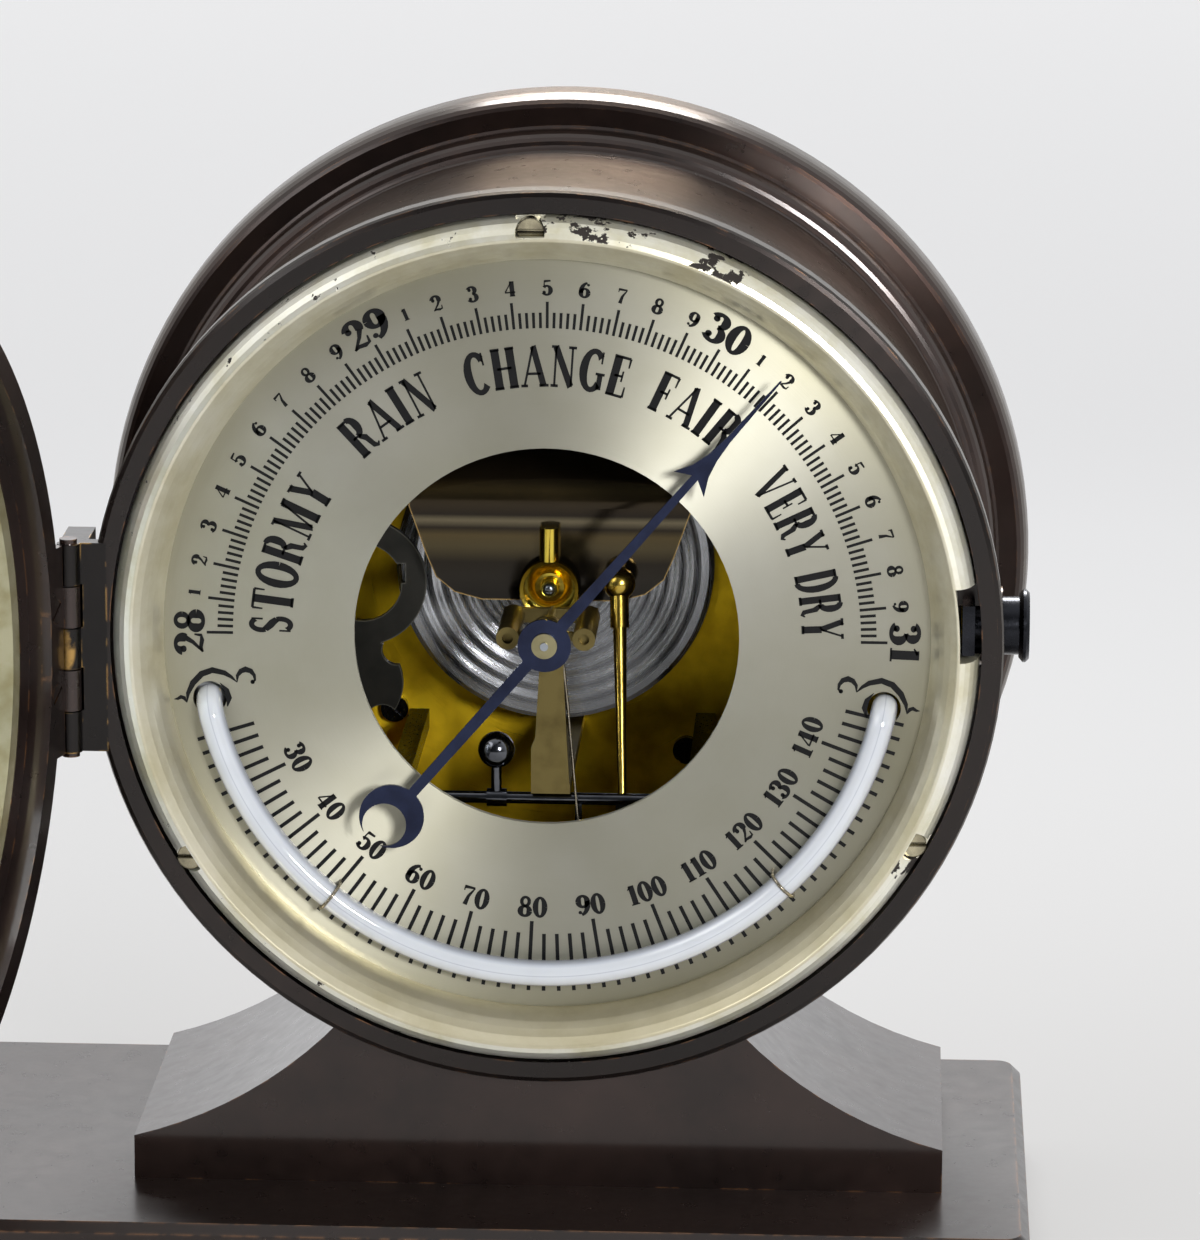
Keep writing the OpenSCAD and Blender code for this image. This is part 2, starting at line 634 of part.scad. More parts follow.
// Wire staples that hold the tube on the dial
module thermometer_clips() color("#8f8f86") at_barometer()
    for (a = clip_angles) at(polar(tube_arc_r, a)) rotate([0, -a, 0]) {
        translate([0, tube_y, 0]) rotate([0, 0, 180]) rotate_extrude(angle = 180)
            translate([tube_r + 0.05 + clip_wire, 0]) circle(clip_wire, $fn = 24);
        for (s = [-1, 1])
            translate([s * (tube_r + 0.05 + clip_wire), 0, 0]) bar_y(clip_wire, tube_y, dial_y - tube_y);
    }

// Barometer: hand and pointer arbor

module pressure_hand() color("#2c3a5e") at_barometer() rotate([0, -hand_angle, 0])
    facing(hand_y, hand_t) difference() {
        union() {
            circle(hub_r);
            polygon([[0, 0.85], [0, -0.85], [head_u, -0.55], [head_u, 0.55]]);
            polygon([[head_u + 1.6, 0], [head_u, 2.87], [head_u + 2.6, 1.5], [head_u + 5.2, 0.8],
                     [head_u + 8.6, 0.42], [hand_reach, 0.12], [hand_reach, -0.12],
                     [head_u + 8.6, -0.42], [head_u + 5.2, -0.8], [head_u + 2.6, -1.5],
                     [head_u, -2.87]]);
            polygon([[0, -0.95], [0, 0.95], [head_u + 1.7, 0.55], [head_u + 1.7, -0.55]]);
            polygon([[0, -0.9], [0, 0.9], [-tail_u + moon_r - 1, 0.75], [-tail_u + moon_r - 1, -0.75]]);
            difference() {
                translate([-tail_u, 0]) circle(moon_r);
                translate([-tail_u - 1.7, 0]) circle(moon_hole_r);
            }
        }
        circle(collet_r);
    }
head_u = 32.2;
tail_u = 34.5;
moon_r = 4.8;
moon_hole_r = 3.25;

// Arbor with the hand's collet and the drum that the chain winds on
module pointer_arbor() color("#cdbf93") at_barometer() {
    bar_y(arbor_r, hand_y - 0.8, rear_bar_y + bridge_t + 0.6 - hand_y + 0.8);
    bar_y(collet_r, hand_y - 0.4, hand_t + 2.2);
    bar_y(chain_top[0] - chain_r - slip, chain_top[1] - 1.2, 2.4);
}
chain_r = 0.3;

// Cock that carries the arbor: a strip up from the plate, with two studs back to a rear bar
module pointer_bridge() color("#b99a4d") at_barometer() {
    difference() {
        union() {
            facing(bridge_y, bridge_t) {
                polygon([[foot_left, foot_z], [foot_left, -17.4], [-1.75, -15.9], [-1.2, -6], [-1.5, -2.2],
                         [-1.5, 0], [2.4, 0], [2.4, -6], [2.9, -16], [foot_right, foot_z]]);
                circle(2.5);
                translate([stud_x[0], stud_z - 0.6]) square([stud_x[1] - stud_x[0], 1.2]);
            }
            facing(rear_bar_y, bridge_t)
                translate([stud_x[0] - 1.4, stud_z - 1.1]) square([stud_x[1] - stud_x[0] + 2.8, 2.2]);
        }
        bar_y(arbor_r + slip, bridge_y - cut, rear_bar_y - bridge_y + bridge_t + 2 * cut);
    }
    translate([foot_left, bridge_y, foot_z]) cube([foot_right - foot_left, plate_y - bridge_y, 1.6]);
    for (x = stud_x)
        translate([x, 0, stud_z]) difference() {
            bar_y(1.7, stud_y, rear_bar_y - stud_y);
            bar_y(0.8, stud_y - cut, 1.2 + cut);
        }
}
rear_bar_y = 24;
stud_y = 9;
stud_x = [-5.78, 5.46];
stud_z = -0.5;
foot_left = -2.35;
foot_right = 3.45;
foot_z = -24.4;

// Flat spiral that keeps the chain taut, pinned to the bridge at its outer end
module hairspring() color("#5c6a86") at_barometer() {
    facing(hairspring_y, 0.7) polygon(concat(spiral(0.1), backwards(spiral(-0.1))));
    at(polar(spiral_out, spiral_start)) bar_y(0.4, hairspring_y, bridge_y - hairspring_y);
}
hairspring_y = bridge_y - 1.3;
function spiral(out) = [for (a = [0:15:spiral_turns * 360])
    polar(spiral_in + (spiral_out - spiral_in) * a / (spiral_turns * 360) + out, a + spiral_start)];
function backwards(points) = [for (k = [len(points) - 1:-1:0]) points[k]];
spiral_in = 1;
spiral_out = 2.2;
spiral_turns = 3;
spiral_start = 200;

// Barometer: movement

module movement_plate() color("#b8892a") at_barometer() difference() {
    bar_y(plate_r, plate_y, plate_t);
    at(axle) bar_y(adjuster_r, plate_y - cut, plate_t + 2 * cut);
    for (a = pillar_angles)
        at(polar(pillar_arc_r, a)) bar_y(pillar_screw_r + slip, plate_y - cut, plate_t + 2 * cut);
}
module movement_pillars() color("#b99a4d") at_barometer()
    for (a = pillar_angles)
        at(polar(pillar_arc_r, a)) difference() {
            bar_y(3, plate_y + plate_t, cover_y - plate_y - plate_t);
            bar_y(pillar_screw_r, plate_y, plate_t + 6);
        }
// The first screw also holds the mainspring's foot
module movement_screws() color("#3a3c40") at_barometer()
    for (k = [0:len(pillar_angles) - 1]) {
        seat = plate_y - (k == 0 ? spring_t : 0);
        at(polar(pillar_arc_r, pillar_angles[k])) translate([0, seat - 1.5, 0])
            slotted_screw(2.1, 1.5, pillar_screw_r, plate_y + plate_t + 5 - seat, pillar_angles[k]);
    }
pillar_screw_r = 1.2;

// Corrugated metal box that swells and shrinks with the air's pressure
ridge_step = 2.3;
ridge_h = 0.36;
module capsule() color("#b9bcc2") at_barometer() at(axle) {
    turned() polygon(concat(
        [[0, capsule_y + 0.6], [3, capsule_y + 0.6]],
        [for (r = [4:ridge_step / 6:capsule_r - 1.6])
            [r, capsule_y + 0.6 - ridge_h / 2 + ridge_h / 2 * cos(360 * (r - 4) / ridge_step)]],
        [[capsule_r - 0.8, capsule_y + 0.7], [capsule_r, capsule_y + 1.6],
         [capsule_r, capsule_y + capsule_t - 1], [capsule_r - 1, capsule_y + capsule_t],
         [0, capsule_y + capsule_t]]));
    bar_y(5, capsule_y + capsule_t, plate_y - capsule_y - capsule_t);
}

// C-shaped leaf spring that holds the capsule open, bent over its top
module mainspring() color("#3d3a3c") at_barometer() difference() {
    intersection() {
        translate([axle[0] - leaf_half, 0, 0]) rotate([90, 0, 90]) linear_extrude(2 * leaf_half)
            spring_profile();
        facing(leaf_y - cut, plate_y - leaf_y + 2 * cut) leaf_outline();
    }
    at(axle) bar_y(post_r + slip, leaf_y - cut, spring_t + 2 * cut);
    at(polar(pillar_arc_r, pillar_angles[0]))
        bar_y(pillar_screw_r + slip, plate_y - spring_t - cut, spring_t + 2 * cut);
}
leaf_half = 21.3;
post_r = 1.2;
spring_foot = 40;
module spring_profile() {
    bend_y = leaf_y + spring_bend;
    translate([leaf_y, -4]) square([spring_t, spring_top + 4]);
    intersection() {
        translate([bend_y, spring_top]) difference() {
            circle(spring_bend);
            circle(spring_bend - spring_t);
        }
        translate([leaf_y, spring_top]) square([spring_bend, spring_bend]);
    }
    translate([bend_y, spring_top + spring_bend - spring_t]) square([plate_y - bend_y, spring_t]);
    translate([plate_y - spring_t, spring_top + spring_bend - spring_t])
        square([spring_t, spring_foot - spring_top - spring_bend + spring_t]);
}
module leaf_outline() {
    translate([axle[0], 0])
        polygon(concat(
            [for (s = [-1, 1], k = [0:len(leaf_side) - 1])
                let (p = leaf_side[s < 0 ? k : len(leaf_side) - 1 - k]) [s * p[0], p[1]]],
            [[leaf_half, spring_top + spring_bend], [12, spring_foot], [-12, spring_foot],
             [-leaf_half, spring_top + spring_bend]]));
    translate(axle) circle(3.2);
}
leaf_side = [[leaf_half, spring_top], [18.7, 6.9], [17.2, 3.4], [14.4, 1.1], [10.3, 0]];

// Post from the capsule through the spring, with its dished washer and steel centre
module capsule_post() color("#b58a3c") at_barometer() at(axle) {
    bar_y(post_r, leaf_y - 1, capsule_y + 0.6 - leaf_y + 1);
    turned() polygon([[0, leaf_y - 0.6], [2.2, leaf_y - 0.8], [3.9, leaf_y - 2.3],
                      [4.4, leaf_y - 2.5], [4.6, leaf_y - 2.1], [3.4, leaf_y], [0, leaf_y]]);
    translate([0, leaf_y - 1.7, 0]) sphere(r = 1.3);
    translate([0, leaf_y - 1.5, 4.3]) cylinder(r = 1.5, h = 5.1);
}

// Tapered rod from the spring down to the rocker shaft
module main_lever() color("#b58a3c") at_barometer() {
    translate(eye) sphere(r = 2.5);
    translate([eye[0], 0, eye[2] + 1.2]) bar_y(0.9, eye[1], leaf_y - eye[1]);
    rod(eye, eye + (lever_foot - eye) * 0.2, 1.43, 1.43);
    rod(eye, lever_foot, 1.15, 0.6);
}

// Shaft that turns the lever's push into a pull on the chain, with its balance ball
module rocker_shaft() color("#4b4d52") at_barometer() translate([0, rocker_y, rocker_z]) {
    bar_x(rocker_r, -rocker_post_x + 1.8, 2 * rocker_post_x - 3.6);
    bar_x(rocker_pivot_r, -rocker_post_x - 1.5, 2 * rocker_post_x + 3);
    bar_x(1.35, ball_x - 1.4, 3);
    translate([ball_x, 0, 0]) cylinder(r = 0.8, h = ball_rise);
    translate([ball_x, 0, ball_rise]) sphere(r = 2.75);
    translate([chain_foot[0] - 0.5, -0.6, -4.8]) cube([1, 1.6, 4.3]);
    translate([chain_foot[0] - 0.5, -2.2, -4.8]) cube([1, 3.2, 1.6]);
    translate([lever_foot[0] - 0.9, -0.6, -3]) cube([1.8, 1.6, 2.6]);
}
rocker_pivot_r = 0.6;
ball_x = -7.7;
ball_rise = 7.3;
module rocker_posts() color("#4b4d52") at_barometer()
    for (s = [-1, 1]) difference() {
        union() {
            translate([s * rocker_post_x - 1.5, rocker_y - 2.2, rocker_z + 0.1])
                cube([3, plate_y - rocker_y + 2.2, 3]);
            translate([s * rocker_post_x - 1.5, rocker_y - 2.2, rocker_z - 2.2])
                cube([3, 4.4, 4.4]);
        }
        translate([0, rocker_y, rocker_z])
            bar_x(rocker_pivot_r + slip, s * rocker_post_x - 2.5, 5);
    }

module pointer_chain() color("#c9c9c4") at_barometer() {
    rod(chain_top, chain_joint, chain_r, chain_r);
    rod(chain_joint, chain_foot, 0.2, 0.2);
}

// Flat steel plates of the temperature compensation, each on its own stud
module lever_plates() color("#6b6c70") at_barometer() {
    facing(side_y, 1.2) difference() {
        union() {
            translate([-29.6, 1.2]) circle(9.8);
            translate([-44, -2.5]) square([12, 7.4]);
        }
        translate([-29.6, 1.2]) circle(6);
        translate([-31, 1.2]) square([8, 3]);
    }
    translate([-40.5, 0, 1.2]) bar_y(2.2, side_y + 1.2, plate_y - side_y - 1.2);
    facing(side_y, 1.2) difference() {
        translate([-31, -14.5]) circle(7.6);
        translate([-24.4, -9.4]) circle(2.2);
        translate([-26.5, -20.5]) circle(2.6);
    }
    translate([-32.5, 0, -14.5]) bar_y(2.2, side_y + 1.2, plate_y - side_y - 1.2);
}
side_y = 37;

// Clock

module clock_dial() color("#c6c5b8") at_clock() difference() {
    dial_disc(pipe_r + 0.6);
    at(barrel_at) bar_y(winder_r + 1, dial_y - cut, dial_t + 2 * cut);
}
winder_r = 2.4;

// A toothed wheel in depth y to y + t, with its teeth's tips just inside the pitch circle
module toothed(teeth, y, t, bore, spokes = false) facing(y, t) difference() {
    r = pitch_r(teeth);
    step = 360 / teeth;
    polygon([for (k = [0:teeth - 1], p = [[-0.24, r - tooth_module], [-0.12, r], [0.12, r],
                                          [0.24, r - tooth_module]])
        polar(p[1], (k + p[0]) * step)]);
    circle(bore);
    if (spokes) for (a = [45:90:315]) translate(polar(r * 0.55, a)) circle(r * 0.24);
}

module clock_plate(y) difference() {
    bar_y(clock_plate_r, y, 2);
    for (p = clock_pillar_at) at(p) bar_y(1.2, y - cut, 2 + 2 * cut);
    bar_y(centre_r + slip, y - cut, 2 + 2 * cut);
    for (p = [third_at, escape_at, pallet_at, balance_at])
        at(p) bar_y(pivot_r + slip, y - cut, 2 + 2 * cut);
    at(barrel_at) bar_y(winder_r + slip, y - cut, 2 + 2 * cut);
}
pivot_r = 0.6;
// The front plate also carries the stud that the minute wheel turns on
module clock_front_plate() color("#b99a4d") at_clock() {
    clock_plate(front_plate_y);
    at(minute_wheel_at) bar_y(wheel_stud_r, wheel_stud_y, front_plate_y - wheel_stud_y);
}
wheel_stud_r = 1;
wheel_stud_y = hour_wheel_y - 1;
module clock_back_plate() color("#b99a4d") at_clock() clock_plate(back_plate_y);
module clock_pillars() color("#b99a4d") at_clock()
    for (p = clock_pillar_at) at(p) {
        bar_y(2.8, front_plate_y + 2, back_plate_y - front_plate_y - 2);
        bar_y(2.8, back_plate_y + 2, cover_y - back_plate_y - 2);
    }

wheel_t = 1.4;
// Arbors run from plate to plate, each shouldered just inside them
module arbor(p, r) at(p) {
    bar_y(pivot_r, front_plate_y + 0.2, back_plate_y - front_plate_y + 1.6);
    bar_y(r, front_plate_y + 2.3, back_plate_y - front_plate_y - 2.6);
}
// Drum that holds the clock's mainspring, turning on the winding arbor
module clock_barrel() color("#b8892a") at_clock() at(barrel_at) {
    toothed(barrel_teeth, barrel_wheel_y, barrel_wheel_t, winder_r + slip);
    difference() {
        bar_y(pitch_r(barrel_teeth) - 3 * tooth_module, barrel_wheel_y + barrel_wheel_t, drum_t);
        bar_y(winder_r + slip, barrel_wheel_y, drum_t + 2 * barrel_wheel_t);
    }
}
barrel_wheel_t = 2;
drum_t = centre_wheel_y - barrel_wheel_y - barrel_wheel_t - 1.5;
// Arbor with the key's square at the front and the ratchet wheel before the front plate
module clock_winding_arbor() color("#6b6c70") at_clock() at(barrel_at) {
    bar_y(winder_r, winder_front + 6, back_plate_y + 1.8 - winder_front - 6);
    translate([-winder_r * 0.7, winder_front, -winder_r * 0.7])
        cube([winder_r * 1.4, 6, winder_r * 1.4]);
    toothed(ratchet_teeth, front_plate_y - 2, 1.4, winder_r - 0.2);
}
ratchet_teeth = 28;
winder_front = dial_y + 0.6;
module clock_centre_arbor() color("#c6a860") at_clock() {
    bar_y(centre_r, minute_hand_y + 0.8, back_plate_y + 1.8 - minute_hand_y - 0.8);
    toothed(centre_pinion_teeth, barrel_wheel_y - 0.5, barrel_wheel_t + 1.5, 0);
    toothed(centre_teeth, centre_wheel_y, wheel_t, 0, true);
}
module clock_third_wheel() color("#c6a860") at_clock() {
    arbor(third_at, 1);
    at(third_at) {
        toothed(pinion_teeth, centre_wheel_y - 1, wheel_t + 2, 0);
        toothed(third_teeth, third_wheel_y, wheel_t, 0, true);
    }
}
module clock_escape_wheel() color("#c6a860") at_clock() {
    arbor(escape_at, 0.9);
    at(escape_at) {
        toothed(escape_pinion_teeth, third_wheel_y - 0.6, wheel_t + 1.2, 0);
        facing(escape_wheel_y, 0.8) difference() {
            polygon([for (k = [0:escape_teeth - 1], p = [[0, 5.2], [0.5, 4.4], [0.9, 6.6]])
                polar(p[1], (k + p[0]) * 360 / escape_teeth)]);
            for (a = [45:90:315]) translate(polar(2.6, a)) circle(1);
        }
    }
}
// Anchor whose two arms catch the escape wheel's teeth, with the fork that the balance knocks
module clock_pallets() color("#8c8578") at_clock() {
    arbor(pallet_at, pallet_arbor_r);
    at(pallet_at) rotate([0, -pallet_turn, 0]) {
        facing(escape_wheel_y, 0.8) {
            for (s = [-1, 1])
                polygon([[0, -s * 0.6], [0, s * 1.3], [pallet_reach[0], s * (pallet_reach[1] + 0.6)],
                         [pallet_reach[0] + 0.4, s * (pallet_reach[1] - 0.3)]]);
            circle(1.3);
        }
        facing(escape_wheel_y + 2, 0.8) {
            polygon([[0, 0.7], [0, -0.7], [-6.2, -0.5], [-6.2, 0.5]]);
            circle(1.2);
        }
    }
}
pallet_turn = atan2(escape_at[1] - pallet_at[1], escape_at[0] - pallet_at[0]);
// Ends of the anchor's arms, 8 mm from the escape wheel's axis and 45 degrees to each side
pallet_reach = [norm(escape_at - pallet_at) - 8 * cos(45), 8 * sin(45)];
pallet_arbor_r = 0.7;
balance_r = norm(balance_at - pallet_at) - pallet_arbor_r - 2 * gap;
module clock_balance() color("#d2b768") at_clock() {
    arbor(balance_at, 0.8);
    at(balance_at) facing(balance_y, 1.3) {
        difference() {
            circle(balance_r);
            circle(balance_r - 1.3);
        }
        square([2 * balance_r - 2, 1.4], center = true);
    }
}
module clock_minute_wheel() color("#c6a860") at_clock() at(minute_wheel_at) {
    toothed(minute_wheel_teeth, minute_wheel_y, wheel_t, wheel_stud_r + slip, true);
    toothed(minute_pinion_teeth, hour_wheel_y - 0.6, minute_wheel_y - hour_wheel_y + 0.6,
            wheel_stud_r + slip);
}

// A hand's outline: a tapered blade with a spade near its point, drawn along X
module hand_blade(reach, half) {
    polygon([[0, half], [reach * 0.62, half * 0.55], [reach * 0.7, half * 1.9],
             [reach * 0.78, half * 1.9], [reach * 0.86, half * 0.7], [reach, 0.1],
             [reach, -0.1], [reach * 0.86, -half * 0.7], [reach * 0.78, -half * 1.9],
             [reach * 0.7, -half * 1.9], [reach * 0.62, -half * 0.55], [0, -half]]);
}
cannon_end = front_plate_y - 0.3;
pipe_end = hour_wheel_y + wheel_t + 0.2;
minute_reach = 47;
hour_reach = 32;
minute_angle = 90 - 6 * clock_minute;
hour_angle = 90 - 30 * (clock_hour + clock_minute / 60);

module minute_hand() color("#2c3a5e") at_clock() {
    rotate([0, -minute_angle, 0]) facing(minute_hand_y, clock_hand_t) difference() {
        union() {
            circle(3.4);
            hand_blade(minute_reach, 1);
            polygon([[0, 1], [0, -1], [-11, -0.7], [-11, 0.7]]);
        }
        circle(centre_r + slip);
    }
    difference() {
        bar_y(cannon_r, minute_hand_y + clock_hand_t, cannon_end - minute_hand_y - clock_hand_t);
        bar_y(centre_r + slip, minute_hand_y, front_plate_y);
    }
    toothed(cannon_teeth, minute_wheel_y - 0.4, wheel_t + 0.8, cannon_r - 0.2);
}
module hour_hand() color("#2c3a5e") at_clock() {
    rotate([0, -hour_angle, 0]) facing(hour_hand_y, clock_hand_t) difference() {
        union() {
            circle(4.2);
            hand_blade(hour_reach, 1.2);
        }
        circle(cannon_r + slip);
    }
    difference() {
        bar_y(pipe_r, hour_hand_y + clock_hand_t, pipe_end - hour_hand_y - clock_hand_t);
        bar_y(cannon_r + slip, hour_hand_y, pipe_end);
    }
    toothed(hour_wheel_teeth, hour_wheel_y, wheel_t, pipe_r - 0.2, true);
}

base();
base_felt();
pedestals();
pedestal_screws();
case_screws();
cover_screws();
ring_screws();
hinge_pins();
barometer_case();
barometer_back_cover();
barometer_reflector_ring();
barometer_dial();
barometer_hinge_leaf();
barometer_door();
barometer_glass();
barometer_glass_ring();
barometer_door_leaf();
barometer_leaf_screws();
barometer_latch_button();
thermometer();
thermometer_clips();
pressure_hand();
pointer_arbor();
pointer_bridge();
movement_plate();
movement_pillars();
movement_screws();
capsule();
mainspring();
capsule_post();
main_lever();
rocker_shaft();
rocker_posts();
pointer_chain();
hairspring();
lever_plates();
clock_case();
clock_back_cover();
clock_reflector_ring();
clock_dial();
clock_hinge_leaf();
clock_door();
clock_glass();
clock_glass_ring();
clock_door_leaf();
clock_leaf_screws();
clock_latch_button();
clock_front_plate();
clock_back_plate();
clock_pillars();
clock_barrel();
clock_winding_arbor();
clock_centre_arbor();
clock_third_wheel();
clock_escape_wheel();
clock_pallets();
clock_balance();
clock_minute_wheel();
minute_hand();
hour_hand();
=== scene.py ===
# Clock and barometer set in patinated bronze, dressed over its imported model.
# Lengths are in metres where Blender reads them and in millimetres where a name or helper says so.
import math

import bmesh
import bpy
from mathutils import Matrix, Vector


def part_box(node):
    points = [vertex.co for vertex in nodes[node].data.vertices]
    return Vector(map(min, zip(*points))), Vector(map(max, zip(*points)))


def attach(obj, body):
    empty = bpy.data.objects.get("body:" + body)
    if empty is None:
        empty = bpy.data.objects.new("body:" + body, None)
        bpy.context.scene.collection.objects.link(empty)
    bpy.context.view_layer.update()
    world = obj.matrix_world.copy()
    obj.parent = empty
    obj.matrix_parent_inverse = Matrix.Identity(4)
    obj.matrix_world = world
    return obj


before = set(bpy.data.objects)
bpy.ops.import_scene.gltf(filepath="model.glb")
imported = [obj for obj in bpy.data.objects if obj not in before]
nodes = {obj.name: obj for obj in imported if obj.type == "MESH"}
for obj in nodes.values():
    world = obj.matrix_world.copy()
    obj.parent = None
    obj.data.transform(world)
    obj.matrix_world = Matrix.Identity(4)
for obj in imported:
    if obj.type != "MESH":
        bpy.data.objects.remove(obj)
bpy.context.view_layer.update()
MM = 0.001

# Camera: a portrait lens 0.9 m in front of the dial and 0.2 m above its middle, which looks down by
# 13 degrees. Its place is counted from the front of the barometer's reflector ring.
low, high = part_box("barometer_reflector_ring")
barometer_at = Vector(((low[0] + high[0]) / 2, low[1], (low[2] + high[2]) / 2))
clock_at = Vector((-barometer_at.x, barometer_at.y, barometer_at.z))
IMAGE_HEIGHT = 1240
FOCAL_PIXELS = 6287.8
SENSOR_HEIGHT_MM = 24
CAMERA_FROM_RING_MM = Vector((49.2, -889.4, 215.0))
YAW, PITCH, ROLL = 0.046, 0.232, 0.005
forward = Vector((
    -math.sin(YAW) * math.cos(PITCH), math.cos(YAW) * math.cos(PITCH), -math.sin(PITCH)))
level = Vector((math.cos(YAW), math.sin(YAW), 0))
upright = level.cross(forward)
right = level * math.cos(ROLL) + upright * math.sin(ROLL)
up = upright * math.cos(ROLL) - level * math.sin(ROLL)
lens = bpy.data.cameras.new("camera")
lens.sensor_fit = "VERTICAL"
lens.sensor_height = SENSOR_HEIGHT_MM
lens.lens = FOCAL_PIXELS / IMAGE_HEIGHT * SENSOR_HEIGHT_MM
lens.clip_start = 0.05
camera = bpy.data.objects.new("camera", lens)
camera.matrix_world = Matrix.Translation(barometer_at + CAMERA_FROM_RING_MM * MM) @ Matrix(
    (right, up, -forward)
).transposed().to_4x4()
bpy.context.scene.collection.objects.link(camera)
bpy.context.scene.camera = camera
bpy.context.scene.view_settings.view_transform = "Standard"


# Studio: a white tent that is open to a dim room on the camera's side, so that what faces the
# lens goes dark in the bronze and what faces up or sideways goes white. A key lamp at the front
# right throws the fans of light over the brushed dial, a softbox fills from the left, and one
# behind and above the set lights the tops of the drums and the base.
def colour(code):
    """Linear colour of an sRGB hex code"""
    parts = [int(code[k:k + 2], 16) / 255 for k in (1, 3, 5)]
    return [c / 12.92 if c <= 0.04045 else ((c + 0.055) / 1.055) ** 2.4 for c in parts] + [1]


def add(tree, kind, inputs=None, ramp=None, **settings):
    """A shader node with its properties set and its inputs filled or linked"""
    node = tree.nodes.new("ShaderNode" + kind)
    for name, value in settings.items():
        setattr(node, name, value)
    for name, value in (inputs or {}).items():
        if isinstance(value, bpy.types.NodeSocket):
            tree.links.new(value, node.inputs[name])
        else:
            node.inputs[name].default_value = value
    if ramp:
        while len(node.color_ramp.elements) < len(ramp):
            node.color_ramp.elements.new(1)
        for element, (place, tint) in zip(node.color_ramp.elements, ramp):
            element.position = place
            element.color = colour(tint)
    return node


def emptied(block):
    """The node tree of a new material or world, with nothing in it"""
    block.use_nodes = True
    block.node_tree.nodes.clear()
    return block.node_tree


TENT_LIGHT = 0.82
LAMPS = [
    # Name, place and size in metres, watts, spread in degrees
    ("key lamp", (0.563, -1.077, 0.458), (0.22, 0.22), 11, 180),
    ("left softbox", (-0.75, -0.75, 0.95), (0.7, 0.7), 4, 180),
    ("back softbox", (0.1, 0.85, 0.85), (0.5, 0.3), 1.6, 60),
]
tent = bpy.data.worlds.new("white tent")
tree = emptied(tent)
heading = add(tree, "SeparateXYZ", {0: add(tree, "TexCoord").outputs["Generated"]})
open_side = add(tree, "MapRange", {0: heading.outputs["Y"], 1: -0.9, 2: -0.2, 3: 0, 4: 1},
                interpolation_type="SMOOTHSTEP")
walls = add(tree, "Mix", {0: open_side.outputs[0], 6: colour("#3b3f42"), 7: colour("#f6f7f8")},
            data_type="RGBA")
path = add(tree, "LightPath")
seen = add(tree, "Background", {0: colour("#f3f4f5"), 1: 1.0})
lit = add(tree, "Background", {0: walls.outputs[2], 1: TENT_LIGHT})
both = add(tree, "MixShader", {0: path.outputs["Is Camera Ray"], 1: lit.outputs[0], 2: seen.outputs[0]})
add(tree, "OutputWorld", {0: both.outputs[0]})
bpy.context.scene.world = tent
for name, place, size, watts, spread in LAMPS:
    lamp = bpy.data.lights.new(name, "AREA")
    lamp.shape = "RECTANGLE"
    lamp.size, lamp.size_y = size
    lamp.spread = math.radians(spread)
    lamp.energy = watts
    holder = bpy.data.objects.new(name, lamp)
    holder.location = place
    holder.rotation_euler = (barometer_at - Vector(place)).to_track_quat("-Z", "Y").to_euler()
    bpy.context.scene.collection.objects.link(holder)


# Floor: a sheet of pale card that runs back and curves up behind the set. The camera and the
# polished bronze see its glow, lighter towards the back and darker at the front as painted shade, and it
# keeps the set's shadow.
def mesh_object(name, mesh_maker, material, body, smooth=True):
    """A new piece from a bmesh, with its material, riding on a CAD body"""
    mesh = bpy.data.meshes.new(name)
    mesh_maker.to_mesh(mesh)
    mesh_maker.free()
    mesh.materials.append(material)
    for face in mesh.polygons:
        face.use_smooth = smooth
    piece = bpy.data.objects.new(name, mesh)
    bpy.context.scene.collection.objects.link(piece)
    if body:
        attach(piece, body)
    return piece


# Sizes of the sheet in metres, and how much of what is seen is its even glow
HALF_WIDTH, FRONT_EDGE, WALL_TOP = 2.5, -1.6, 2.4
CURVE_START, CURVE_RADIUS, CURVE_STEPS = 1.5, 0.8, 12
GLOW_SHARE = 0.72
card = bpy.data.materials.new("pale card")
tree = emptied(card)
matt = add(tree, "BsdfDiffuse", {0: colour("#ececed")})
way_back = add(tree, "SeparateXYZ", {0: add(tree, "TexCoord").outputs["Object"]})
depth = add(tree, "MapRange", {0: way_back.outputs["Y"], 1: -0.1, 2: 1.4})
# Painted shade: the glow is darker at the front, near the set, and lightens towards the back
glow_with_painted_shade = add(tree, "ValToRGB", {0: depth.outputs[0]}, ramp=[
    (0.0, "#bab8b5"), (0.15, "#d0cfce"), (0.4, "#e9e9ea"), (1.0, "#fbfbfc")])
glow = add(tree, "Emission", {0: glow_with_painted_shade.outputs[0], 1: 1.0})
path = add(tree, "LightPath")
seen = add(tree, "Math", {0: path.outputs["Is Camera Ray"], 1: path.outputs["Is Glossy Ray"]},
           operation="MAXIMUM")
share = add(tree, "Math", {0: seen.outputs[0], 1: GLOW_SHARE}, operation="MULTIPLY")
both = add(tree, "MixShader", {0: share.outputs[0], 1: matt.outputs[0], 2: glow.outputs[0]})
add(tree, "OutputMaterial", {0: both.outputs[0]})
rows = [(FRONT_EDGE, 0)]
for step in range(CURVE_STEPS + 1):
    bend = step * math.pi / (2 * CURVE_STEPS)
    rows.append((CURVE_START + CURVE_RADIUS * math.sin(bend), CURVE_RADIUS * (1 - math.cos(bend))))
rows.append((CURVE_START + CURVE_RADIUS, WALL_TOP))
sweep = bmesh.new()
edges = [[sweep.verts.new((x, y, z)) for y, z in rows] for x in (-HALF_WIDTH, HALF_WIDTH)]
for k in range(len(rows) - 1):
    sweep.faces.new((edges[0][k], edges[1][k], edges[1][k + 1], edges[0][k + 1]))
mesh_object("floor", sweep, card, None)


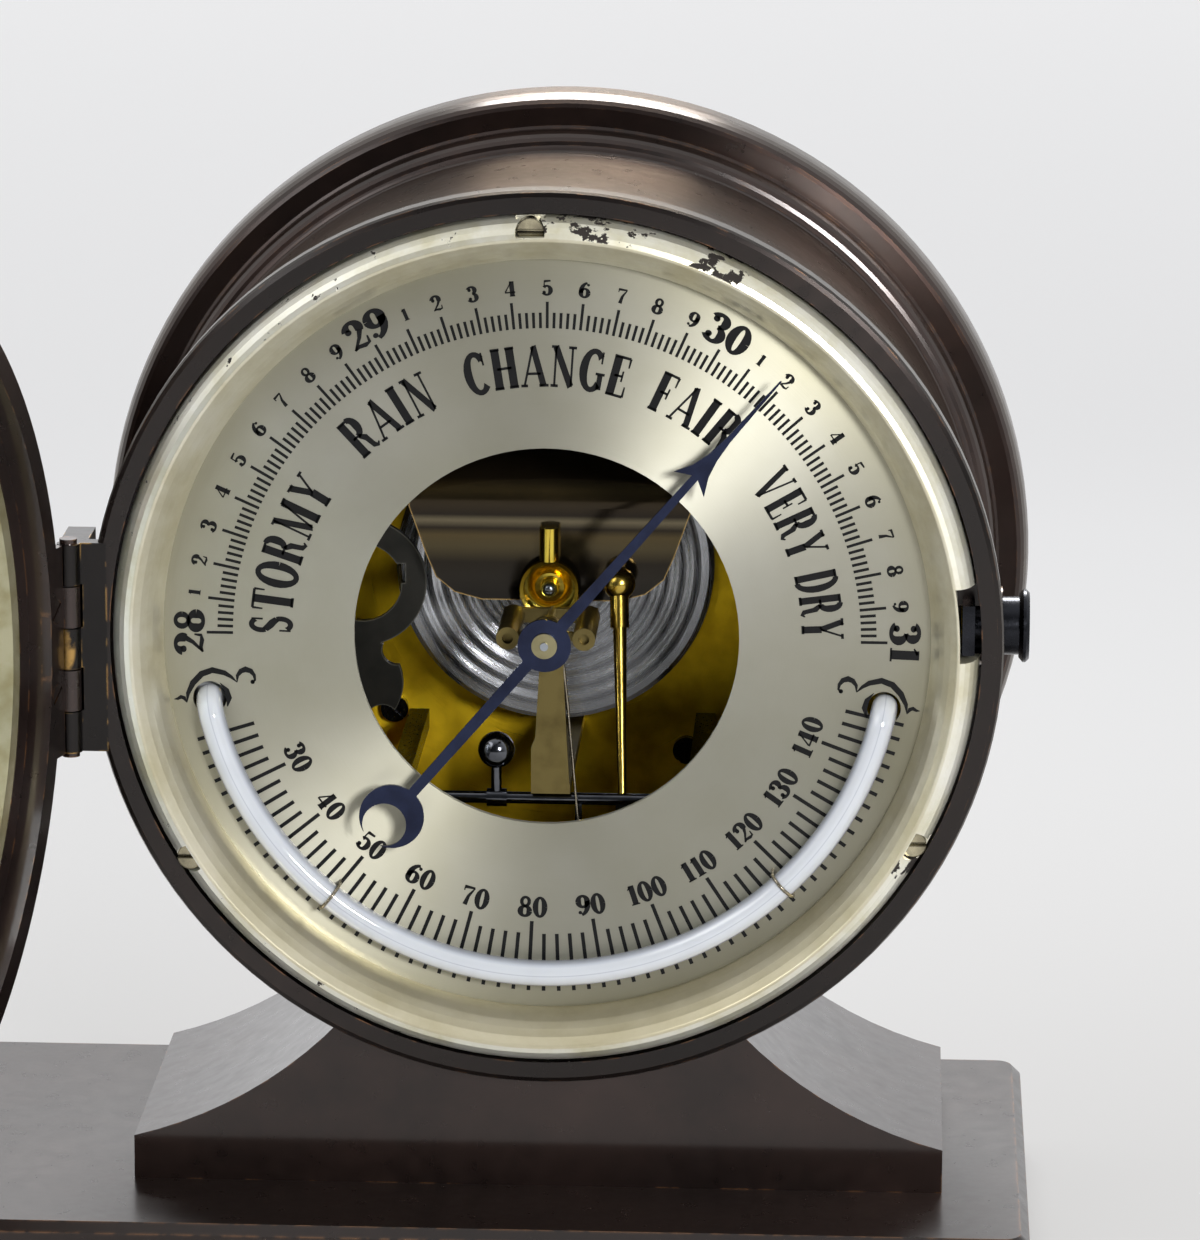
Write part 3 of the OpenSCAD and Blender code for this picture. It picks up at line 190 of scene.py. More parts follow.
# Base: a thick bronze plate with bevelled edges, filed, polished and patinated, its corners rubbed
# by handling. A sheet of felt is glued under it.
def paint(material, *names):
    """Gives CAD nodes their material"""
    for name in names:
        slots = nodes[name].material_slots
        for one in slots:
            one.material = material
        if not slots:
            nodes[name].data.materials.append(material)


def run_round(tree, shader):
    """Lathe or brush marks round an axis that runs front to back, which draw out each reflection"""
    shader.inputs["Anisotropic Rotation"].default_value = 0.25
    around = add(tree, "Tangent", direction_type="RADIAL", axis="Y")
    tree.links.new(around.outputs[0], shader.inputs["Tangent"])


def patinated_bronze(name, tone, deep, metallic=0.85, wear=0.3, edge_mm=0.4, coat=1.0, gloss=0.1,
                     sheer="#ffffff", turned=0.0, rubbed=None):
    """Bronze coloured a dark maroon brown, which shows as clouds under a clear lacquer, and worn
    through to the warm metal at its corners. sheer is the tint of what it mirrors at a low angle,
    rubbed a point and a radius in millimetres."""
    material = bpy.data.materials.new(name)
    tree = emptied(material)
    place = add(tree, "TexCoord").outputs["Object"]
    cloud = add(tree, "TexNoise", {
        "Vector": place, "Scale": 1 / (22 * MM), "Detail": 4.0, "Roughness": 0.6})
    cloudy = add(tree, "MapRange", {0: cloud.outputs[0], 1: 0.35, 2: 0.7, 3: 0, 4: 1})
    patina = add(tree, "Mix", {0: cloudy.outputs[0], 6: colour(deep), 7: colour(tone)}, data_type="RGBA")
    skin = patina.outputs[2]
    # Worn edges: where the rounded-over normal leaves the true one, broken up by a 3 mm grain
    rounded = add(tree, "Bevel", {"Radius": edge_mm * MM}, samples=6)
    true = add(tree, "NewGeometry").outputs["Normal"]
    lean = add(tree, "VectorMath", {0: rounded.outputs[0], 1: true}, operation="DOT_PRODUCT")
    edge = add(tree, "MapRange", {0: lean.outputs["Value"], 1: 0.99, 2: 0.9, 3: 0, 4: 1})
    grain = add(tree, "TexNoise", {"Vector": place, "Scale": 1 / (3 * MM), "Detail": 5.0})
    intact = 0.62 - wear * 0.3
    broken = add(tree, "MapRange", {0: grain.outputs[0], 1: intact, 2: intact + 0.1, 3: 0, 4: 1})
    worn = add(tree, "Math", {0: edge.outputs[0], 1: broken.outputs[0]}, operation="MULTIPLY")
    worn = worn.outputs[0]
    if rubbed:
        # A place that fingers or a neighbour have rubbed bright, a tall oval about a point
        centre, radius_mm = rubbed
        off = add(tree, "VectorMath", {0: place, 1: centre}, operation="SUBTRACT")
        oval = add(tree, "VectorMath", {0: off.outputs[0], 1: (2.1, 1.0, 1.0)}, operation="MULTIPLY")
        away = add(tree, "VectorMath", {0: oval.outputs[0]}, operation="LENGTH")
        near = add(tree, "MapRange", {
            0: away.outputs["Value"], 1: radius_mm * MM, 2: radius_mm * 0.8 * MM})
        patchy = add(tree, "MapRange", {0: grain.outputs[0], 1: 0.42, 2: 0.56})
        spot = add(tree, "Math", {0: near.outputs[0], 1: patchy.outputs[0]}, operation="MULTIPLY")
        worn = add(tree, "Math", {0: worn, 1: spot.outputs[0]}, operation="MAXIMUM").outputs[0]
    if turned:
        # Painted reflection: the rim at the front is painted almost black, for the dim room that its face
        # mirrors
        rim_back = barometer_at.y + 8.0 * MM
        behind = add(tree, "SeparateXYZ", {0: place}).outputs["Y"]
        front = add(tree, "MapRange", {0: behind, 1: rim_back + 0.6 * MM, 2: rim_back, 3: 0, 4: 0.75})
        black = colour("#171312")
        skin = add(tree, "Mix", {0: front.outputs[0], 6: skin, 7: black}, data_type="RGBA").outputs[2]
    bare = colour("#b08a4a" if rubbed else "#7d5738")
    surface = add(tree, "Mix", {0: worn, 6: skin, 7: bare}, data_type="RGBA")
    # Pinholes of the lacquer, drawn 1.2 mm apart so that they show
    pinholes = add(tree, "TexNoise", {"Vector": place, "Scale": 1 / (1.2 * MM), "Detail": 6.0})
    rough = add(tree, "MapRange", {0: grain.outputs[0], 1: 0.3, 2: 0.75, 3: 0.26, 4: 0.38})
    bump = add(tree, "Bump", {"Strength": 0.002, "Distance": 0.1 * MM, "Height": pinholes.outputs[0]})
    shader = add(tree, "BsdfPrincipled", {
        "Base Color": surface.outputs[2], "Metallic": metallic, "Roughness": rough.outputs[0],
        "Anisotropic": turned, "Coat Weight": coat, "Coat Roughness": gloss, "Coat IOR": 1.52,
        "Specular Tint": colour(sheer), "Normal": bump.outputs[0]})
    if turned:
        run_round(tree, shader)
    add(tree, "OutputMaterial", {0: shader.outputs[0]})
    return material


paint(patinated_bronze("lacquered bronze plate", "#2c211d", "#221a17", metallic=0.5, wear=0.6,
                       edge_mm=0.8, coat=0.5, gloss=0.2), "base")
# Wool felt: a dull green nap of 0.8 mm that takes the light evenly
felt = bpy.data.materials.new("green wool felt")
tree = emptied(felt)
fuzz = add(tree, "TexNoise", {
    "Vector": add(tree, "TexCoord").outputs["Object"], "Scale": 1 / (0.8 * MM), "Detail": 6.0})
nap = add(tree, "Mix", {0: fuzz.outputs[0], 6: colour("#1f2a20"), 7: colour("#3c4a3a")}, data_type="RGBA")
lift = add(tree, "Bump", {"Strength": 0.6, "Distance": 0.4 * MM, "Height": fuzz.outputs[0]})
wool = add(tree, "BsdfPrincipled", {
    "Base Color": nap.outputs[2], "Roughness": 0.95, "Sheen Weight": 0.4, "Normal": lift.outputs[0]})
add(tree, "OutputMaterial", {0: wool.outputs[0]})
paint(felt, "base_felt")

# Pedestals: two cast bronze saddles with hollow sides, screwed up from under the base plate, and
# polished and patinated like the cases that they carry.
case_bronze = patinated_bronze("lacquered bronze, maroon patina", "#40302b", "#2c211e")
paint(case_bronze, "pedestals")

# Cases: bronze drums, each turned in one piece from rim to flange, so that their sides mirror the
# room in long soft bands. A flat cover closes each back.
drum_bronze = patinated_bronze("turned bronze, maroon patina", "#40302b", "#2c211e", coat=0.75,
                               gloss=0.2, sheer="#d8cfc0", turned=0.8)
paint(drum_bronze, "barometer_case", "clock_case")
paint(case_bronze, "barometer_back_cover", "clock_back_cover", "cover_screws")


# Reflector rings: brass, turned, silvered and lacquered, and held in the cases by three screws
# each. The lacquer has yellowed along the lower bevel, and damp has pitted the flank in patches.
def polar_place(tree, centre):
    """The place itself, its radius in millimetres about a dial's axis, and its angle from
    3 o'clock as a share of a turn"""
    place = add(tree, "TexCoord").outputs["Object"]
    local = add(tree, "VectorMath", {0: place, 1: centre}, operation="SUBTRACT")
    axes = add(tree, "SeparateXYZ", {0: local.outputs[0]})
    flat = add(tree, "CombineXYZ", {0: axes.outputs["X"], 1: axes.outputs["Z"]})
    radius = add(tree, "VectorMath", {0: flat.outputs[0]}, operation="LENGTH")
    radius_mm = add(tree, "Math", {0: radius.outputs["Value"], 1: 1 / MM}, operation="MULTIPLY")
    angle = add(tree, "Math", {0: axes.outputs["Z"], 1: axes.outputs["X"]}, operation="ARCTAN2")
    turn = add(tree, "Math", {0: angle.outputs[0], 1: 1 / (2 * math.pi)}, operation="MULTIPLY")
    share = add(tree, "Math", {0: turn.outputs[0], 1: 1.0}, operation="FLOORED_MODULO")
    return place, radius_mm.outputs[0], share.outputs[0]


def silvered_ring(name, centre):
    """Silvering gone cream, in 12 mm blotches"""
    material = bpy.data.materials.new(name)
    tree = emptied(material)
    place, radius, turn = polar_place(tree, centre)
    lip_mm = 60.6
    flank = add(tree, "MapRange", {0: radius, 1: lip_mm, 2: lip_mm + 0.2})
    blotch = add(tree, "TexNoise", {
        "Vector": place, "Scale": 1 / (12 * MM), "Detail": 5.0, "Roughness": 0.65})
    aged = add(tree, "ValToRGB", {0: blotch.outputs[0]}, ramp=[
        (0.32, "#d9d3b6"), (0.5, "#ebe8d8"), (0.7, "#f2f0e6")])
    bevel = add(tree, "ValToRGB", {0: blotch.outputs[0]}, ramp=[
        (0.3, "#c9c1a4"), (0.55, "#dcd7c2"), (0.75, "#e6e2d3")])
    # Yellow tarnish along the lower half of the bevel
    lower = add(tree, "ValToRGB", {0: turn}, ramp=[
        (0.5, "#000000"), (0.6, "#909090"), (0.8, "#c0c0c0"), (0.97, "#000000")])
    streak = add(tree, "Math", {0: lower.outputs[0], 1: blotch.outputs[0]}, operation="MULTIPLY")
    yellow = add(tree, "Mix", {0: streak.outputs[0], 6: bevel.outputs[0], 7: colour("#c0a862")},
                 data_type="RGBA")
    zones = add(tree, "Mix", {0: flank.outputs[0], 6: yellow.outputs[2], 7: aged.outputs[0]},
                data_type="RGBA")
    # How thickly the pits lie round the ring, from 3 o'clock anticlockwise
    crowd = add(tree, "ValToRGB", {0: turn}, ramp=[
        (0.0, "#303030"), (0.165, "#383838"), (0.185, "#e8e8e8"), (0.2, "#505050"), (0.235, "#d8d8d8"),
        (0.262, "#606060"), (0.33, "#909090"), (0.42, "#808080"), (0.5, "#404040"), (0.66, "#787878"),
        (0.74, "#585858"), (0.9, "#303030"), (0.914, "#f0f0f0"), (0.928, "#303030")])
    pits = add(tree, "TexNoise", {
        "Vector": place, "Scale": 1 / (2.4 * MM), "Detail": 7.0, "Roughness": 0.6})
    need = add(tree, "MapRange", {0: crowd.outputs[0], 3: 0.72, 4: 0.38})
    over = add(tree, "Math", {0: pits.outputs[0], 1: need.outputs[0]}, operation="SUBTRACT")
    mark = add(tree, "MapRange", {0: over.outputs[0], 1: 0.0, 2: 0.02})
    pitted = add(tree, "Math", {0: mark.outputs[0], 1: flank.outputs[0]}, operation="MULTIPLY")
    skin = add(tree, "Mix", {0: pitted.outputs[0], 6: zones.outputs[2], 7: colour("#231c17")},
               data_type="RGBA")
    rough = add(tree, "MapRange", {0: pitted.outputs[0], 3: 0.3, 4: 0.8})
    metal = add(tree, "MapRange", {0: pitted.outputs[0], 3: 0.7, 4: 0.0})
    sunk = add(tree, "Bump", {"Strength": 0.4, "Distance": 0.15 * MM, "Height": pitted.outputs[0]},
               invert=True)
    shader = add(tree, "BsdfPrincipled", {
        "Base Color": skin.outputs[2], "Metallic": metal.outputs[0], "Roughness": rough.outputs[0],
        "Normal": sunk.outputs[0]})
    add(tree, "OutputMaterial", {0: shader.outputs[0]})
    return material


paint(silvered_ring("silvered brass, yellowed lacquer", barometer_at), "barometer_reflector_ring")
paint(silvered_ring("silvered brass, yellowed lacquer, clock", clock_at), "clock_reflector_ring")


# Screws: turned steel, dulled to a warm grey. Those of the rings have slotted heads, silvered like
# the rings, with dark dirt along the edges of head and slot.
def plain_metal(name, tint, dark, roughness, metallic=1.0, grain_mm=0.4, bump=0.02, turned=0.0,
                coat=0.0, shine=0.5, edge=None, spot=None, bands=None):
    """A small part's metal: its tint clouded towards a darker one, with a fine grain in its surface.
    spot is a point and a radius in millimetres, bands a foot and a top in metres and a ramp."""
    material = bpy.data.materials.new(name)
    tree = emptied(material)
    place = add(tree, "TexCoord").outputs["Object"]
    cloud = add(tree, "TexNoise", {"Vector": place, "Scale": 1 / (4 * MM), "Detail": 5.0})
    shade = add(tree, "MapRange", {0: cloud.outputs[0], 1: 0.4, 2: 0.75})
    clouded = add(tree, "Mix", {0: shade.outputs[0], 6: colour(tint), 7: colour(dark)}, data_type="RGBA")
    tone = clouded.outputs[2]
    if bands:
        # Painted reflection: bands of colour by height, which stand in for what a polished leaf mirrors
        foot, top, ramp = bands
        height = add(tree, "SeparateXYZ", {0: place}).outputs["Z"]
        rise = add(tree, "MapRange", {0: height, 1: foot, 2: top})
        tone = add(tree, "ValToRGB", {0: rise.outputs[0]}, ramp=ramp).outputs[0]
    if spot:
        # A steel pivot or ball set in the softer metal
        centre, radius_mm = spot
        away = add(tree, "VectorMath", {0: place, 1: centre}, operation="DISTANCE")
        inside = add(tree, "MapRange", {
            0: away.outputs["Value"], 1: radius_mm * MM, 2: radius_mm * 0.92 * MM})
        set_in = add(tree, "Mix", {0: inside.outputs[0], 6: tone, 7: colour("#aab0b8")}, data_type="RGBA")
        tone = set_in.outputs[2]
    if edge:
        # Filed corners that catch the light in another colour
        rounded = add(tree, "Bevel", {"Radius": 0.35 * MM}, samples=6)
        true = add(tree, "NewGeometry").outputs["Normal"]
        lean = add(tree, "VectorMath", {0: rounded.outputs[0], 1: true}, operation="DOT_PRODUCT")
        filed = add(tree, "MapRange", {0: lean.outputs["Value"], 1: 0.99, 2: 0.92, 3: 0, 4: 1})
        cornered = add(tree, "Mix", {0: filed.outputs[0], 6: tone, 7: colour(edge)}, data_type="RGBA")
        tone = cornered.outputs[2]
    if turned:
        # Lathe marks, rings about the dial's axis
        radius, turn = polar_place(tree, barometer_at)[1:]
        across = add(tree, "Math", {0: radius, 1: 1 / grain_mm}, operation="MULTIPLY")
        along = add(tree, "Math", {0: turn, 1: 9.0}, operation="MULTIPLY")
        lines = add(tree, "CombineXYZ", {0: across.outputs[0], 1: along.outputs[0]})
        grain = add(tree, "TexNoise", {"Vector": lines.outputs[0], "Scale": 1.0, "Detail": 4.0},
                    noise_dimensions="2D")
    else:
        grain = add(tree, "TexNoise", {"Vector": place, "Scale": 1 / (grain_mm * MM), "Detail": 4.0})
    rough = add(tree, "MapRange", {
        0: grain.outputs[0], 3: max(roughness - 0.06, 0.02), 4: roughness + 0.08})
    lift = add(tree, "Bump", {"Strength": bump, "Distance": 0.1 * MM, "Height": grain.outputs[0]})
    shader = add(tree, "BsdfPrincipled", {
        "Base Color": tone, "Metallic": metallic, "Roughness": rough.outputs[0], "Anisotropic": turned,
        "Coat Weight": coat, "Coat Roughness": 0.1, "Specular IOR Level": shine,
        "Normal": lift.outputs[0]})
    if turned:
        run_round(tree, shader)
    add(tree, "OutputMaterial", {0: shader.outputs[0]})
    return material


screw_steel = plain_metal("turned screw steel", "#8e8a80", "#5b5750", 0.35)
paint(screw_steel, "pedestal_screws", "case_screws")
paint(plain_metal("silvered screw", "#cfc6a8", "#6f6858", 0.2, edge="#3a342a"), "ring_screws")


# Dials: brass discs, silvered and brushed round their centre, which gives them fans of light. The
# silvering has yellowed towards the rim. They lie under the lip of the reflector rings.
def silvered_dial(name, centre):
    """Warm pale grey in 30 mm blotches, under brush strokes 0.12 mm apart and 20 degrees long"""
    material = bpy.data.materials.new(name)
    tree = emptied(material)
    place, radius, turn = polar_place(tree, centre)
    strokes_per_mm, strokes_per_turn = 8.0, 18.0
    across = add(tree, "Math", {0: radius, 1: strokes_per_mm}, operation="MULTIPLY")
    along = add(tree, "Math", {0: turn, 1: strokes_per_turn}, operation="MULTIPLY")
    track = add(tree, "CombineXYZ", {0: across.outputs[0], 1: along.outputs[0]})
    strokes = add(tree, "TexNoise", {"Vector": track.outputs[0], "Scale": 1.0, "Detail": 3.0},
                  noise_dimensions="2D")
    blotch = add(tree, "TexNoise", {"Vector": place, "Scale": 1 / (30 * MM), "Detail": 4.0})
    tone = add(tree, "ValToRGB", {0: blotch.outputs[0]}, ramp=[
        (0.3, "#aeab99"), (0.6, "#bbb9ac"), (0.8, "#c3c2b8")])
    rim = add(tree, "MapRange", {0: radius, 1: 50.0, 2: 57.0, 3: 0.0, 4: 0.35})
    aged = add(tree, "Mix", {0: rim.outputs[0], 6: tone.outputs[0], 7: colour("#a9a383")},
               data_type="RGBA")
    rough = add(tree, "MapRange", {0: strokes.outputs[0], 3: 0.4, 4: 0.5})
    lift = add(tree, "Bump", {"Strength": 0.15, "Distance": 0.05 * MM, "Height": strokes.outputs[0]})
    shader = add(tree, "BsdfPrincipled", {
        "Base Color": aged.outputs[2], "Metallic": 0.95, "Roughness": rough.outputs[0],
        "Anisotropic": 0.8, "Normal": lift.outputs[0]})
    run_round(tree, shader)
    add(tree, "OutputMaterial", {0: shader.outputs[0]})
    return material


paint(silvered_dial("silvered brass, circular brushing", barometer_at), "barometer_dial")
paint(silvered_dial("silvered brass, circular brushing, clock", clock_at), "clock_dial")

# Barometer's markings: engraved and filled with black wax, which stands a hair proud. Each figure
# is built from pen strokes, thick where a broad pen is and thin across, on a height of 1.
THICK, THIN = 0.27, 0.13


def bar(x0, y0, x1, y1, w0=THICK, w1=None):
    """A straight stroke from one point to another, with its width at each"""
    return [(x0, y0, w0), (x1, y1, w0 if w1 is None else w1)]


def bow(cx, cy, rx, ry, start, end, thick=THICK):
    """Part of an ellipse, thick at its sides and thin at top and bottom"""
    steps = max(6, round(abs(end - start) / 15))
    turns = [math.radians(start + (end - start) * k / steps) for k in range(steps + 1)]
    return [(cx + rx * math.cos(a), cy + ry * math.sin(a), THIN + (thick - THIN) * math.cos(a) ** 2)
            for a in turns]


def ball(x, y, r=0.1):
    """A round stroke end"""
    return [(x + 0.001 * math.cos(a), y + 0.001 * math.sin(a), 2 * r) for a in (0, math.pi)] + ["round"]


def foot(x, y, half=0.16):
    """A serif, thin and level"""
    return bar(x - half, y, x + half, y, 0.065)


def turned_over(strokes, width):
    """The same figure turned upside down"""
    return [[p if p == "round" else (width - p[0], 1 - p[1], p[2]) for p in line] for line in strokes]


# Each figure's width and its strokes
SIX = [bow(0.32, 0.3, 0.21, 0.27, 0, 360), bow(0.5, 0.42, 0.39, 0.54, 100, 195), ball(0.5, 0.83, 0.085)]
GLYPHS = {
    "0": (0.64, [bow(0.32, 0.5, 0.215, 0.465, 0, 360)]),
    "1": (0.46, [bar(0.26, 0.03, 0.26, 0.98), bar(0.24, 0.93, 0.06, 0.8, 0.09, 0.05),
                 foot(0.26, 0.035, 0.2)]),
    "2": (0.64, [ball(0.16, 0.7), bow(0.31, 0.72, 0.2, 0.245, 175, -30),
                 [(0.49, 0.62, 0.17), (0.36, 0.38, 0.12), (0.08, 0.06, 0.07)],
                 [(0.06, 0.06, 0.07), (0.2, 0.12, 0.13), (0.42, 0.07, 0.15),
                  (0.56, 0.1, 0.1), (0.59, 0.32, 0.05)]]),
    "3": (0.62, [ball(0.15, 0.78), bow(0.27, 0.75, 0.19, 0.215, 160, -85),
                 bow(0.27, 0.28, 0.22, 0.25, 85, -160), ball(0.13, 0.22)]),
    "4": (0.68, [[(0.46, 0.97, 0.06), (0.06, 0.3, 0.08)], bar(0.04, 0.27, 0.64, 0.27, 0.085),
                 bar(0.46, 0.03, 0.46, 0.97), foot(0.46, 0.035)]),
    "5": (0.62, [[(0.14, 0.9, 0.16), (0.5, 0.94, 0.1)], bar(0.14, 0.95, 0.12, 0.5, 0.07),
                 bow(0.28, 0.32, 0.22, 0.285, 140, -150), ball(0.13, 0.2)]),
    "6": (0.64, SIX),
    "7": (0.6, [[(0.06, 0.9, 0.16), (0.54, 0.93, 0.1)],
                 [(0.54, 0.93, 0.06), (0.33, 0.5, 0.15), (0.26, 0.03, 0.22)],
                 bar(0.07, 0.97, 0.07, 0.72, 0.06)]),
    "8": (0.64, [bow(0.32, 0.745, 0.175, 0.215, 0, 360, 0.17), bow(0.32, 0.27, 0.21, 0.24, 0, 360)]),
    "9": (0.64, turned_over(SIX, 0.64)),
    "A": (0.86, [bar(0.1, 0.03, 0.42, 0.98, 0.07), bar(0.42, 0.98, 0.72, 0.03, 0.2),
                 bar(0.2, 0.32, 0.64, 0.32, 0.06), foot(0.1, 0.035, 0.11), foot(0.73, 0.035, 0.15)]),
    "C": (0.78, [bow(0.42, 0.5, 0.3, 0.465, 42, 318), bar(0.68, 0.97, 0.68, 0.66, 0.06),
                 bar(0.64, 0.82, 0.68, 0.74, 0.1, 0.04)]),
    "D": (0.82, [bar(0.2, 0.03, 0.2, 0.97), bar(0.06, 0.965, 0.38, 0.965, 0.065),
                 bar(0.06, 0.035, 0.38, 0.035, 0.065), bow(0.36, 0.5, 0.33, 0.465, -90, 90)]),
    "E": (0.7, [bar(0.2, 0.03, 0.2, 0.97), bar(0.06, 0.965, 0.6, 0.965, 0.065),
                 bar(0.06, 0.035, 0.62, 0.035, 0.065), bar(0.2, 0.51, 0.46, 0.51, 0.06),
                 bar(0.6, 0.97, 0.6, 0.74, 0.08, 0.05), bar(0.62, 0.03, 0.62, 0.28, 0.08, 0.05),
                 bar(0.46, 0.64, 0.46, 0.38, 0.06)]),
    "F": (0.68, [bar(0.2, 0.03, 0.2, 0.97), bar(0.06, 0.965, 0.6, 0.965, 0.065), foot(0.2, 0.035),
                 bar(0.2, 0.5, 0.46, 0.5, 0.06), bar(0.6, 0.97, 0.6, 0.72, 0.08, 0.05),
                 bar(0.46, 0.64, 0.46, 0.37, 0.06)]),
    "G": (0.84, [bow(0.42, 0.5, 0.3, 0.465, 42, 318), bar(0.68, 0.97, 0.68, 0.68, 0.06),
                 bar(0.68, 0.06, 0.68, 0.42, 0.17), foot(0.68, 0.43, 0.15)]),
    "H": (0.88, [bar(0.2, 0.03, 0.2, 0.97), bar(0.68, 0.03, 0.68, 0.97), bar(0.2, 0.5, 0.68, 0.5, 0.06)]
          + [foot(x, y, 0.15) for x in (0.2, 0.68) for y in (0.035, 0.965)]),
    "I": (0.4, [bar(0.2, 0.03, 0.2, 0.97), foot(0.2, 0.035), foot(0.2, 0.965)]),
    "M": (1.06, [bar(0.17, 0.03, 0.17, 0.97, 0.07), bar(0.17, 0.97, 0.5, 0.06, 0.2),
                 bar(0.5, 0.06, 0.82, 0.97, 0.07), bar(0.85, 0.03, 0.85, 0.97), foot(0.17, 0.035, 0.12),
                 foot(0.85, 0.035, 0.15), foot(0.12, 0.965, 0.1), foot(0.88, 0.965, 0.12)]),
    "N": (0.88, [bar(0.17, 0.03, 0.17, 0.97, 0.07), bar(0.16, 0.97, 0.7, 0.03, 0.2),
                 bar(0.71, 0.03, 0.71, 0.97, 0.07), foot(0.17, 0.035, 0.12), foot(0.12, 0.965, 0.1),
                 foot(0.71, 0.965, 0.13)]),
    "O": (0.8, [bow(0.4, 0.5, 0.3, 0.465, 0, 360)]),
    "R": (0.86, [bar(0.2, 0.03, 0.2, 0.97), bar(0.06, 0.965, 0.4, 0.965, 0.065),
                 bar(0.2, 0.5, 0.4, 0.5, 0.06), bow(0.4, 0.735, 0.2, 0.23, -90, 90),
                 [(0.42, 0.5, 0.12), (0.58, 0.36, 0.19), (0.63, 0.1, 0.17),
                  (0.74, 0.04, 0.09), (0.82, 0.1, 0.04)],
                 foot(0.2, 0.035)]),
    "S": (0.68, [bow(0.34, 0.73, 0.2, 0.235, 40, 205, 0.17),
                 [(0.16, 0.64, 0.17), (0.3, 0.53, 0.2), (0.42, 0.46, 0.2), (0.53, 0.36, 0.17)],
                 bow(0.34, 0.27, 0.2, 0.235, 25, -140, 0.17), bar(0.52, 0.97, 0.52, 0.7, 0.06),
                 bar(0.14, 0.3, 0.14, 0.03, 0.06)]),
    "T": (0.76, [bar(0.38, 0.03, 0.38, 0.97), bar(0.06, 0.965, 0.7, 0.965, 0.065), foot(0.38, 0.035),
                 bar(0.06, 0.97, 0.06, 0.72, 0.08, 0.05), bar(0.7, 0.97, 0.7, 0.72, 0.08, 0.05)]),
    "V": (0.84, [bar(0.14, 0.97, 0.43, 0.02, 0.2), bar(0.43, 0.02, 0.73, 0.97, 0.07),
                 foot(0.14, 0.965, 0.14), foot(0.73, 0.965, 0.1)]),
    "Y": (0.82, [bar(0.14, 0.97, 0.42, 0.46, 0.2), bar(0.71, 0.97, 0.42, 0.46, 0.07),
                 bar(0.42, 0.03, 0.42, 0.48), foot(0.14, 0.965, 0.14), foot(0.71, 0.965, 0.1),
                 foot(0.42, 0.035)]),
    " ": (0.42, []),
}


def dial_point(x, y, z):
    """A point in metres from millimetres right of, behind and above the centre of the dial in hand"""
    return dial_centre + Vector((x, y, z)) * MM


def wax_line(marks, points, place):
    """A closed ribbon of wax along points of (u, v, width)"""
    rounded = points[-1] == "round"
    points = [p for p in points if p != "round"]
    if rounded:
        u, v, w = points[0]
        turns = [k * math.pi / 7 for k in range(14)]
        outline = [place(u + w / 2 * math.cos(a), v + w / 2 * math.sin(a)) for a in turns]
    else:
        left, other = [], []
        for k, (u, v, w) in enumerate(points):
            ahead = points[min(k + 1, len(points) - 1)]
            behind = points[max(k - 1, 0)]
            along = Vector((ahead[0] - behind[0], ahead[1] - behind[1])).normalized()
            left.append(place(u - along.y * w / 2, v + along.x * w / 2))
            other.append(place(u + along.y * w / 2, v - along.x * w / 2))
        outline = left + other[::-1]
    tops = [marks.verts.new(dial_point(p[0], DIAL_FACE_MM - WAX_PROUD_MM, p[1])) for p in outline]
    feet = [marks.verts.new(dial_point(p[0], DIAL_FACE_MM + WAX_SUNK_MM, p[1])) for p in outline]
    count = len(outline)
    if rounded:
        marks.faces.new(tops)
        marks.faces.new(feet[::-1])
    else:
        for k in range(len(left) - 1):
            marks.faces.new((tops[k], tops[k + 1], tops[count - 2 - k], tops[count - 1 - k]))
            marks.faces.new((feet[k + 1], feet[k], feet[count - 1 - k], feet[count - 2 - k]))
    for k in range(count):
        after = (k + 1) % count
        marks.faces.new((tops[after], tops[k], feet[k], feet[after]))


def on_arc(radius, degrees, outward=True):
    """Places (u, v) millimetres along and up a line of text whose foot is at this radius"""
    a = math.radians(degrees)
    side = 1 if outward else -1
    rise = (side * math.cos(a), side * math.sin(a))
    run = (rise[1], -rise[0])
    start = (radius * math.cos(a), radius * math.sin(a))
    return lambda u, v: (start[0] + run[0] * u + rise[0] * v, start[1] + run[1] * u + rise[1] * v)


def letter(marks, text, radius, degrees, height, squeeze=1.0, outward=True, spacing=0.1):
    """Text round the dial, its middle at this angle; radius is that of the figures' own middle"""
    widths = [(GLYPHS[c][0] + spacing) * height * squeeze for c in text]
    total = sum(widths) - spacing * height * squeeze
    side = 1 if outward else -1
    reach = -total / 2
    for c, width in zip(text, widths):
        own = GLYPHS[c][0] * height * squeeze
        turn = math.degrees((reach + own / 2) / radius) * side
        place = on_arc(radius, degrees - turn, outward)
        for line in GLYPHS[c][1]:
            wax_line(marks, line, lambda u, v: place(u * squeeze * height - own / 2, (v - 0.5) * height))
        reach += width


def tick(marks, inner, outer, degrees, width):
    """A line of a scale, from one radius to another"""
    wax_line(marks, [(0, 0, width), (0, outer - inner, width)], on_arc(inner, degrees))


def heat_angle(degrees_f):
    """Where a temperature stands on the dial"""
    thirty_at, degree_turn = 207.2, 1.2027
    return thirty_at + degree_turn * (degrees_f - 30)


# Engraver's wax: near black and almost matt, so that it hardly answers to the lamps
wax = plain_metal("black engraver's wax", "#060609", "#030304", 0.35, metallic=0.0, shine=0.3)
DIAL_FACE_MM = 8.0
WAX_PROUD_MM, WAX_SUNK_MM = 0.05, 0.03
dial_centre = barometer_at
marks = bmesh.new()
